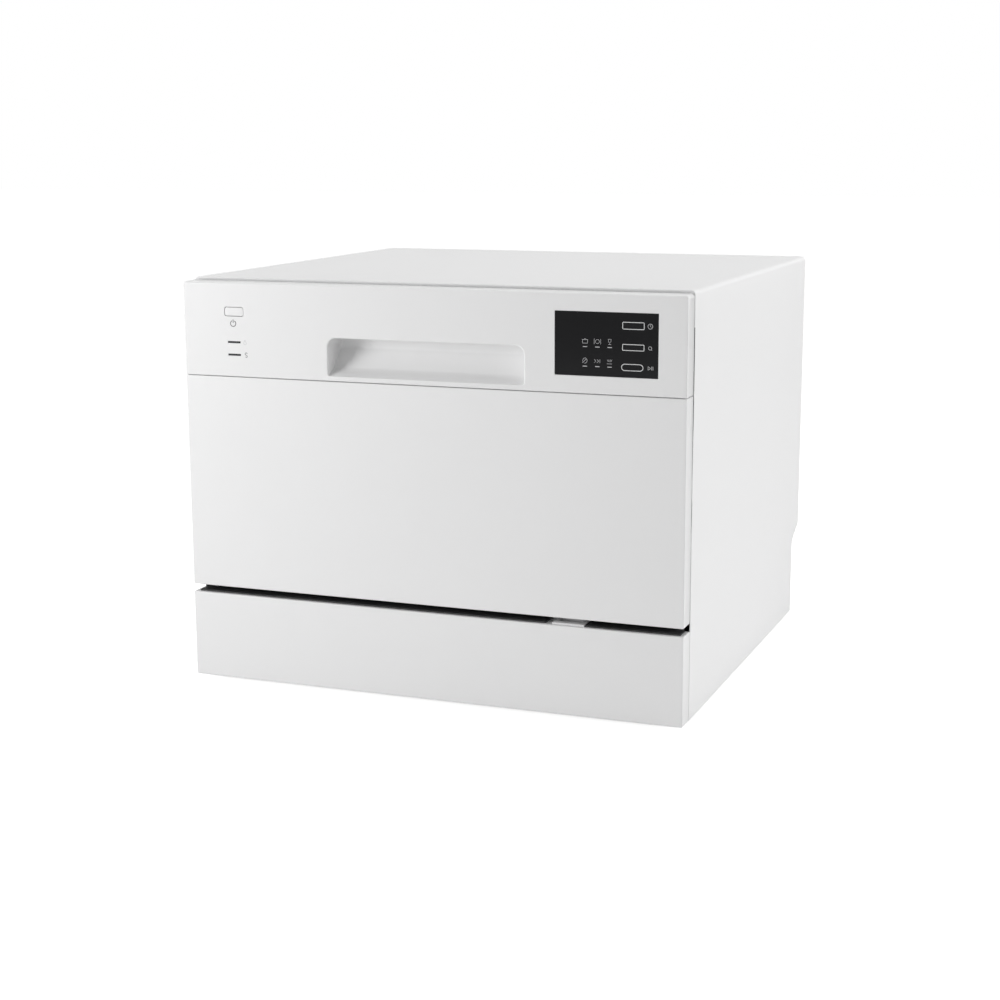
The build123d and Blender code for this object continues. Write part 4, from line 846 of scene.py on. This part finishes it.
def addSigns():
    onGlass = body["front"] + display["face"] - display["ink"] - 0.00002
    onPanel = body["front"] + 0.00003
    thin, fine = 0.0004, 0.0003
    sign("standbySign", "door", (-0.2160, 0.3921), [arc(0, 0, 3.1, 118, 422), line((0, 0.6), (0, 4.2))], 0.0007,
         onPanel, "inkGrey", "white_plastic")
    sign("clockSign", "door", (0.2374, 0.4042), [line((0, 1.5), (0, 0), (1.1, -0.6))], thin, onGlass, "inkDim",
         "display_black", [arc(0, 0, 2.4, 0, 360)])
    sign("chooseSign", "door", (0.2374, 0.3832), [line((1.0, -1.0), (2.1, -2.1))], thin, onGlass, "inkDim",
         "display_black", [arc(0, 0, 1.6, 0, 360)])
    sign("startSign", "door", (0.2380, 0.3638), [line((1.2, 1.8), (1.2, -1.8)), line((2.5, 1.8), (2.5, -1.8))], thin,
         onGlass, "inkDim", "display_black", [line((-2.4, 1.8), (0.2, 0), (-2.4, -1.8), (-2.4, 1.8), count=4)])
    drop = np.concatenate([arc(0, -0.9, 1.6, -180, 0, 13), line((1.6, -0.9), (0, 2.6), (-1.6, -0.9), count=5)])
    sign("rinseSign", "door", (-0.2027, 0.3727), [], 0.0004, onPanel, "inkFaint", "white_plastic", [drop])
    sweep = np.concatenate([arc(0, 1.1, 1.3, 20, 270, 15), arc(0, -1.3, 1.1, 90, -160, 15)])
    sign("saltSign", "door", (-0.2016, 0.3594), [sweep], 0.0005, onPanel, "inkGrey", "white_plastic")
    pot = [line((-2.6, 1.2), (-2.6, -2.0), (2.6, -2.0), (2.6, 1.2), count=3), line((-3.2, 1.4), (3.2, 1.4)),
           line((-0.7, 2.3), (0.7, 2.3))]
    plate = [line((-3.3, 2.6), (-3.3, -2.6)), line((3.3, 2.6), (3.3, -2.6))]
    glass = [line((-1.6, 2.6), (-1.0, -0.3), (1.0, -0.3), (1.6, 2.6), (-1.6, 2.6), count=2),
             line((0, -0.3), (0, -2.4)), line((-1.4, -2.5), (1.4, -2.5))]
    leaf = [np.concatenate([arc(0.5, 0, 2.7, 200, 90, 10), arc(-0.4, 0.2, 2.7, 20, -90, 10)]),
            line((-2.6, -2.4), (1.4, 1.6))]
    fast = [line((-3.2, 1.6), (-1.2, 0), (-3.2, -1.6)), line((-0.4, 1.6), (1.6, 0), (-0.4, -1.6)),
            line((2.6, 1.8), (2.6, -1.8))]
    spray = [line((x, 1.9), (x * 0.6, -0.2)) for x in (-2.4, -0.8, 0.8, 2.4)] + [line((-2.4, -2.2), (2.4, -2.2))]
    signs = {"potSign": (pot, []), "plateSign": (plate, [arc(0, 0, 2.0, 0, 360)]),
             "glassSign": (glass, []), "leafSign": (leaf, []), "fastSign": (fast, []), "spraySign": (spray, [])}
    places = [(x, z) for z in (0.3879, 0.3688) for x in (0.1715, 0.1842, 0.1967)]
    for (name, (strokes, rings)), (x, z) in zip(signs.items(), places):
        sign(name, "door", (x, z), strokes, fine, onGlass, "inkDim", "display_black", rings)
    shell = Shell()
    for x, z in places:
        ribbon(shell, line((x - 0.0022, z - 0.0054), (x + 0.0022, z - 0.0054)), 0.0007, onGlass)
    shell.build("programmeLamps", "door", "inkDim", "display_black", (), 30)


def addLenses():
    # two light bars, each a low cushion: sides straight, top edges rounded
    shell = Shell()
    x0, x1 = panel["lens"]
    for height in panel["lensHeights"]:
        limits = (x0, x1, height - panel["lensHalf"], height + panel["lensHalf"])
        rings = foldedRings(limits, 0.0004, body["front"] + 0.0002, body["front"] + 0.0038, [0.0004] * 4)
        shell.grid(rings, closedColumns=True, caps=("first", "last"))
    shell.build("lightBars", "door", "smokedLens", "smoke_lens", ("indicator_lenses",), 40)


addWindow()
addKeys()
addSigns()
addLenses()
print("display, keys and signs made")

# ---- the gap under the door: black lip with an upright apron behind it, and the grey lead guide
gap = {"lip": (-0.2585, -0.2175), "lipEnd": -0.2417, "behindGuide": -0.2317, "guide": (0.1291, 0.1716),
       "low": 0.0994, "high": 0.1010, "half": 0.256, "ends": (-0.2688, 0.2708), "round": 0.0006,
       "apron": (-0.2189, -0.21755, 0.1011, 0.1409)}


def barAlongX(shell, limits, corner, stations):
    # a rounded section in the side view (y from, y to, z from, z to) carried across at the stations
    loop = loopOf(*limits, corner, 5)[0]
    rings = [np.stack([np.full(len(loop), x), loop[:, 0], loop[:, 1]], -1) for x in stations]
    return shell.grid(np.stack(rings), closedColumns=True, caps=("first", "last"))


def addGapPieces():
    low, high, half = gap["low"], gap["high"], gap["half"]
    shell = Shell()
    barAlongX(shell, (*gap["lip"], low, high), gap["round"], (-half, 0.0, gap["guide"][0]))
    barAlongX(shell, (*gap["lip"], low, high), gap["round"], (gap["guide"][1], half))
    barAlongX(shell, (gap["behindGuide"], gap["lip"][1], low, high), gap["round"], gap["guide"])
    for end in gap["ends"]:
        barAlongX(shell, (gap["lip"][0], gap["lipEnd"], low, high), gap["round"], (math.copysign(half, end), end))
    barAlongX(shell, gap["apron"], 0.0004, (-half, half))
    shell.build("gapSeal", "cabinet", "mattBlack", "black_plastic", ("gap_seal_strip",), 40)
    # the guide's lighter grey is painted light over its shaded faces
    smoothCopy("cable_guide", "guideGreyLit", 0.0004)


# painted shade: black strips standing for the shadow in the gap between the door's sides and the wrap
gapShade = {"inner": 0.2706, "rise": 0.0021, "tip": 0.0004, "over": 0.0005,
          "heights": (0.172, 0.200, 0.212, 0.228, 0.240, 0.250, 0.282, 0.306, 0.330, 0.336, 0.342, 0.402),
          "inset": (0.0011, 0.0006, 0.0004, 0.0004, 0.0009, 0.0007, 0.0004, 0.0002, 0.0001, 0.0003, 0.0001, 0.0001)}


def addPaintedGapShade():
    # a black strip before the wrap's folded edge at each side, painted shade for the dark gap between the door and the
    # wrap: it stands out by rise * (1 - |t|^24) along its length, and its outer side is set in by the inset of each
    # height, which sets how wide the painted shade shows
    z = np.linspace(gapShade["heights"][0], gapShade["heights"][-1], 116)
    t = np.linspace(-1, 1, len(z))
    rise = gapShade["tip"] + (gapShade["rise"] - gapShade["tip"]) * (1 - np.abs(t) ** 24)
    outer = body["sideX"] - np.interp(z, gapShade["heights"], gapShade["inset"])
    inner = np.full(len(z), gapShade["inner"])
    edge = body["cabinetFront"]
    shell = Shell()
    for side in (-1, 1):
        corners = [(inner, 0 * z + edge + 0.0001), (inner, edge - rise), (outer, edge - rise),
                   (outer, 0 * z + edge + gapShade["over"])]
        columns = [np.stack([side * x, y, z], -1) for x, y in corners]
        shell.grid(np.stack(columns, 1), closedColumns=True, caps=("first", "last"))
    shell.build("paintedGapShadeStrips", "cabinet", "mattBlack", "black_plastic", (), 40)


addGapPieces()
addPaintedGapShade()
print("gap pieces made")

# ---- dish basket: every wire is one bent rod, from the rim down, along the floor and up again
basket = {"x": 0.225, "front": -0.200, "rear": 0.212, "floor": 0.188, "rim": 0.262, "wire": 0.0015,
          "rimWire": 0.0025, "bend": 0.009, "rows": (-0.150, -0.075, 0.0, 0.075, 0.150), "lines": 15,
          "tineTop": 0.253, "tineLines": (3, 5, 7), "tineCount": 9, "rollerX": 0.212, "axleZ": 0.1683}


def uPath(start, stop, low, top, bend, count=7):
    # a flat U: straight down, quarter turn, along, quarter turn, straight up
    turn = np.radians(np.linspace(180, 270, count))
    first = np.stack([start + bend + bend * np.cos(turn), low + bend + bend * np.sin(turn)], -1)
    last = np.stack([stop - bend - bend * np.cos(turn), low + bend + bend * np.sin(turn)], -1)[::-1]
    down = np.stack([np.full(5, start), np.linspace(top, low + bend, 6)[:-1]], -1)
    along = np.stack([np.linspace(start + bend, stop - bend, 9)[1:-1], np.full(7, low)], -1)
    up = np.stack([np.full(5, stop), np.linspace(low + bend, top, 6)[1:]], -1)
    return np.concatenate([down, first, along, last, up])


def rodEnds(length, radius, count=5):
    # radius of a rod that ends in a half ball: r * sqrt(1 - t^2) over the last radius of its length
    t = np.linspace(0, 0.98, count)
    return length - radius + radius * t, radius * np.sqrt(1 - t ** 2)


def slabX(shell, y0, y1, z0, z1, x0, x1, corner=0.0008):
    # a small rounded plate: its outline in the side view carried across
    loop = loopOf(y0, y1, z0, z1, corner, 4)[0]
    rings = [np.stack([np.full(len(loop), x), loop[:, 0], loop[:, 1]], -1) for x in (x0, x1)]
    shell.grid(np.stack(rings), closedColumns=True, caps=("first", "last"))


def addBasket():
    shell = Shell()
    wire, low, high = basket["wire"], basket["floor"], basket["floor"] + 2 * basket["wire"]
    top = basket["rim"] - basket["rimWire"]
    lines = np.linspace(-basket["x"] + 0.024, basket["x"] - 0.024, basket["lines"])
    path = uPath(basket["front"] + 0.003, basket["rear"] - 0.003, high, top, basket["bend"])
    for x in lines:
        points = np.stack([np.full(len(path), x), path[:, 0], path[:, 1]], -1)
        shell.grid(tube(points, wire, (1, 0, 0), 8), closedColumns=True, caps=("first", "last"))
    path = uPath(-basket["x"] + 0.003, basket["x"] - 0.003, low, top, basket["bend"])
    for y in basket["rows"]:
        points = np.stack([path[:, 0], np.full(len(path), y), path[:, 1]], -1)
        shell.grid(tube(points, wire, (0, 1, 0), 8), closedColumns=True, caps=("first", "last"))
    tip, tipRadius = rodEnds(basket["tineTop"] - high, wire)
    heights = np.concatenate([[high + 0.001, high + 0.02, high + 0.045], high + tip])
    radii = np.concatenate([[wire] * 3, tipRadius])
    for index in basket["tineLines"]:
        for y in np.linspace(-0.150, 0.170, basket["tineCount"]):
            points = np.stack([np.full(len(heights), lines[{3: 1, 5: 3, 7: 5}[index]]), np.full(len(heights), y),
                               heights], -1)
            shell.grid(tube(points, radii, (1, 0, 0), 8), closedColumns=True, caps=("first", "last"))
    rim = loopOf(-basket["x"] + 0.0025, basket["x"] - 0.0025, basket["front"] + 0.0025, basket["rear"] - 0.0025,
                 0.0275, 10, (8, 8))[0]
    points = np.stack([rim[:, 0], rim[:, 1], np.full(len(rim), basket["rim"])], -1)
    shell.grid(tube(points, basket["rimWire"], (0, 0, 1), 12, closed=True), closedRows=True, closedColumns=True)
    for side in (-1, 1):
        for y in (-0.150, 0.150):
            x0, x1 = sorted((side * 0.2185, side * 0.221))
            slabX(shell, y - 0.008, y + 0.008, basket["axleZ"] - 0.006, low - 0.0012, x0, x1, 0.003)
            axle = [(side * (basket["rollerX"] + reach), y, basket["axleZ"]) for reach in (-0.0055, -0.005, 0.0065)]
            shell.grid(tube(axle, (0.0025, 0.003, 0.003), (0, 0, 1), 16), closedColumns=True, caps=("first", "last"))
    for y in (-0.108, 0.108):
        ring = turned([(0.00205, -0.005), (0.0046, -0.005), (0.005, -0.0046), (0.005, 0.0046), (0.0046, 0.005),
                       (0.00205, 0.005)], (-0.216, y, 0.286), "y", 24)
        shell.grid(ring, closedRows=True, closedColumns=True)
        slabX(shell, y - 0.005, y + 0.005, 0.2642, 0.2824, -0.2205, -0.2135, 0.0012)
    shell.build("dishBasketWires", "basket", "coatedWire", "basket_coat", ("dish_basket",), 50, merge=2e-7)


def addCupShelf():
    # a bent frame round the shelf, cross wires, and plastic sleeves on the rod it folds about
    shell = Shell()
    x, z, reach, wire = -0.216, 0.286, 0.092, 0.0015
    ends = np.array([(x, -0.126), (x, 0.126)])
    rod = np.stack([np.full(2, x), ends[:, 1], np.full(2, z)], -1)
    shell.grid(tube(np.linspace(rod[0], rod[1], 9), 0.002, (0, 0, 1), 12), closedColumns=True, caps=("first", "last"))
    flat = uPath(-0.1185, 0.1185, -reach, 0.0, 0.012)
    points = np.stack([x - flat[:, 1], flat[:, 0], np.full(len(flat), z)], -1)
    shell.grid(tube(points, wire, (0, 0, 1), 8), closedColumns=True, caps=("first", "last"))
    for y in np.linspace(-0.1185, 0.1185, 7)[1:-1]:
        points = np.linspace((x + 0.002, y, z), (x + reach - 0.0005, y, z), 7)
        shell.grid(tube(points, wire, (0, 0, 1), 8), closedColumns=True, caps=("first", "last"))
    points = np.linspace((x + reach * 0.55, -0.1195, z - 0.003), (x + reach * 0.55, 0.1195, z - 0.003), 9)
    shell.grid(tube(points, wire, (0, 0, 1), 8), closedColumns=True, caps=("first", "last"))
    for y in np.linspace(-0.1185, 0.1185, 7):
        if abs(abs(y) - 0.108) > 0.001:
            sleeve = turned([(0.0021, -0.0038), (0.0038, -0.0038), (0.004, -0.0034), (0.004, 0.0034), (0.0038, 0.0038),
                             (0.0021, 0.0038)], (x, y, z), "y", 20)
            shell.grid(sleeve, closedRows=True, closedColumns=True)
    shell.build("cupShelfWires", "cup_shelf", "coatedWire", "basket_coat", ("cup_shelf",), 50, merge=2e-7)


addBasket()
addCupShelf()
print("basket and shelf made")

# ---- door seal, balance springs and screws
seal = {"outer": (-0.258, 0.258, 0.143, 0.423), "corner": 0.009, "front": -0.2262, "rear": -0.2185}


def addSeal():
    # section of the rubber carried round the mouth: a foot, a bead and a lip towards the door
    depth = seal["rear"] - seal["front"]
    section = [(0.0004, 1.0), (0.0002, 0.75), (0.0, 0.5), (0.0006, 0.2), (0.0018, 0.04), (0.003, 0.0), (0.0042, 0.05),
               (0.0050, 0.22), (0.0048, 0.42), (0.0040, 0.52), (0.0042, 0.62), (0.0055, 0.74), (0.0058, 0.9),
               (0.0056, 1.0)]
    rings = [atDepth(insetLoop(seal["outer"], seal["corner"], inset, 10, (6, 6))[0], seal["front"] + depth * share)
             for inset, share in section]
    Shell().grid(np.stack(rings), closedRows=True, closedColumns=True).build(
        "mouthSeal", "cabinet", "greyRubber", "grey_rubber", ("door_gasket",), 60)


def addSprings():
    # close-wound helix between two straight ends: x, y = r cos t, r sin t, with z rising a wire's width a turn
    y, top, low = -0.2265, 0.1029, 0.011
    for side, hand in ((-1, "left"), (1, "right")):
        turns, radius, wire = 30, 0.0038, 0.0007
        t = np.linspace(0, turns * 2 * math.pi, turns * 14 + 1)
        height = 0.036 + (0.051 * t / t[-1])
        grow = np.clip(np.minimum(t, t[-1] - t) / (2 * math.pi), 0, 1)
        coil = np.stack([side * 0.265 + radius * grow * np.cos(t), y + radius * grow * np.sin(t), height], -1)
        lower = np.linspace((side * 0.265, y, low + 0.0005), (side * 0.265, y, 0.0355), 8)
        upper = np.linspace((side * 0.265, y, 0.0875), (side * 0.265, y, top - 0.0026), 8)
        path = np.concatenate([lower, coil, upper])
        shell = Shell().grid(tube(path, wire, (0.31, 0.17, 0.93), 6), closedColumns=True, caps=("first", "last"))
        piece = shell.build(hand + "Spring", "cabinet", "castSteel", "zinc_steel",
                            ("door_springs",) if side > 0 else (), 60, merge=1e-7)
        piece.parent = None
        piece.matrix_world = Matrix.Identity(4)
        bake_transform(piece)


def screwHeads(name, rider, places, finish, replaced, radius=0.0039, height=0.0014, along=1):
    # pan head as a dome over polar steps, with a cross sunk in: depth where |u| or |v| is under the slot's half
    reach = np.array([0.0, 0.00035, 0.0006, 0.0012, 0.0017, 0.0021, 0.0027, 0.0033, 0.0037, 0.0039]) * radius / 0.0039
    turn = np.linspace(0, 2 * math.pi, 48, endpoint=False)
    r, a = np.meshgrid(reach, turn, indexing="ij")
    u, v = r * np.cos(a), r * np.sin(a)
    rise = height * np.sqrt(np.clip(1 - (r / radius) ** 4, 0, 1))
    slotDepth = np.clip((0.0005 - np.minimum(np.abs(u), np.abs(v))) / 0.00025, 0, 1) * np.clip((0.0022 - r) / 0.0004, 0, 1)
    rise = rise - 0.0009 * slotDepth
    skirt = np.stack([u[-1], v[-1], 0 * u[-1]], -1)
    grid = np.concatenate([np.stack([u, v, rise], -1), skirt[None]])
    shell = Shell()
    for x, y, z in places:
        placed = np.stack([x + grid[..., 0], y + along * grid[..., 2], z + grid[..., 1]], -1)
        shell.grid(placed, closedColumns=True, caps=("last",))
        shank = turned([(0.0017, 0.0), (0.0017, 0.0055), (0.0006, 0.0068)], (x, y, z), "y", 12)
        shank[..., 1] = 2 * y - shank[..., 1] if along > 0 else shank[..., 1]
        shell.grid(shank, closedColumns=True, caps=("first", "last"))
    shell.build(name, rider, finish, "zinc_steel", replaced, 40, merge=1e-7)


addSeal()
addSprings()
rearScrews = [(s * 0.262, 0.261, z) for s in (-1, 1) for z in (0.150, 0.277, 0.404)]
rearScrews += [(s * 0.150, 0.261, 0.425) for s in (-1, 1)]
rearScrews += [(s * 0.245, 0.2295, z) for s in (-1, 1) for z in (0.028, 0.078)]
screwHeads("cabinetScrewHeads", "cabinet", rearScrews, "castSteel", ("cabinet_screws",))
doorScrews = [(s * 0.266, -0.2400, z) for s in (-1, 1) for z in (0.200, 0.262, 0.345, 0.400)]
screwHeads("doorScrewHeads", "door", doorScrews, "castSteel", ("door_screws",))
print("seal, springs and screws made")

# ---- pieces whose CAD shape is right: joined, shaded smooth and with eased edges
carried = [
    ("rear_panel", "zincSheet", "zinc_steel", 0.0), ("rear_service_cover", "zincSheet", "zinc_steel", 0.0),
    ("base_tray", "baseMoulding", "base_plastic", 0.0006), ("hinge_brackets", "zincPart", "zinc_steel", 0.0003),
    ("latch_striker", "zincPart", "zinc_steel", 0.0002), ("tub", "stainless", "stainless", 0.0),
    ("basket_rails", "stainless", "stainless", 0.0), ("sump", "greyMoulding", "grey_plastic", 0.0),
    ("fine_filter_plate", "stainless", "stainless", 0.0), ("spray_riser", "greyMoulding", "grey_plastic", 0.0003),
    ("softener_tank", "naturalPolymer", "natural_plastic", 0.0), ("wash_pump", "pumpBlack", "pump_black", 0.0),
    ("flow_heater", "stainlessUpright", "stainless", 0.0), ("drain_pump", "pumpBlack", "pump_black", 0.0),
    ("internal_hoses", "greyRubber", "grey_rubber", 0.0), ("air_breather", "naturalPolymer", "natural_plastic", 0.0),
    ("float_switch", "mattBlack", "black_plastic", 0.0), ("inlet_valve", "naturalPolymer", "natural_plastic", 0.0),
    ("drain_outlet", "greyMoulding", "grey_plastic", 0.0002), ("cable_gland", "mattBlack", "black_plastic", 0.0003),
    ("door_inner_panel", "stainless", "stainless", 0.0), ("control_board", "boardGreen", "board_green", 0.0),
    ("latch_housing", "greyMoulding", "grey_plastic", 0.0002), ("dispenser_body", "paleGrey", "grey_plastic", 0.0004),
    ("hinge_arms", "zincPart", "zinc_steel", 0.0002), ("latch_hook", "castSteel", "zinc_steel", 0.0002),
    ("dispenser_lid", "greyMoulding", "grey_plastic", 0.0003), ("rinse_cap", "greyMoulding", "grey_plastic", 0.0004),
    ("spray_arm", "paleGrey", "grey_plastic", 0.0), ("coarse_filter", "greyMoulding", "grey_plastic", 0.0003),
    ("micro_filter", "strainerCloth", "stainless", 0.0), ("salt_cap", "paleGrey", "grey_plastic", 0.0005),
    ("leak_float", "foamBeads", "foam", 0.001), ("cutlery_basket", "greyMoulding", "grey_plastic", 0.0),
]
for cornerName in ("front_left", "front_right", "rear_left", "rear_right"):
    carried.append((cornerName + "_foot", "mattBlack", "black_plastic", 0.0004))
    carried.append((cornerName + "_roller", "paleGrey", "grey_plastic", 0.0003))
for node, finish, slotName, ease in carried:
    smoothCopy(node, finish, ease)
print("carried pieces:", len(carried))
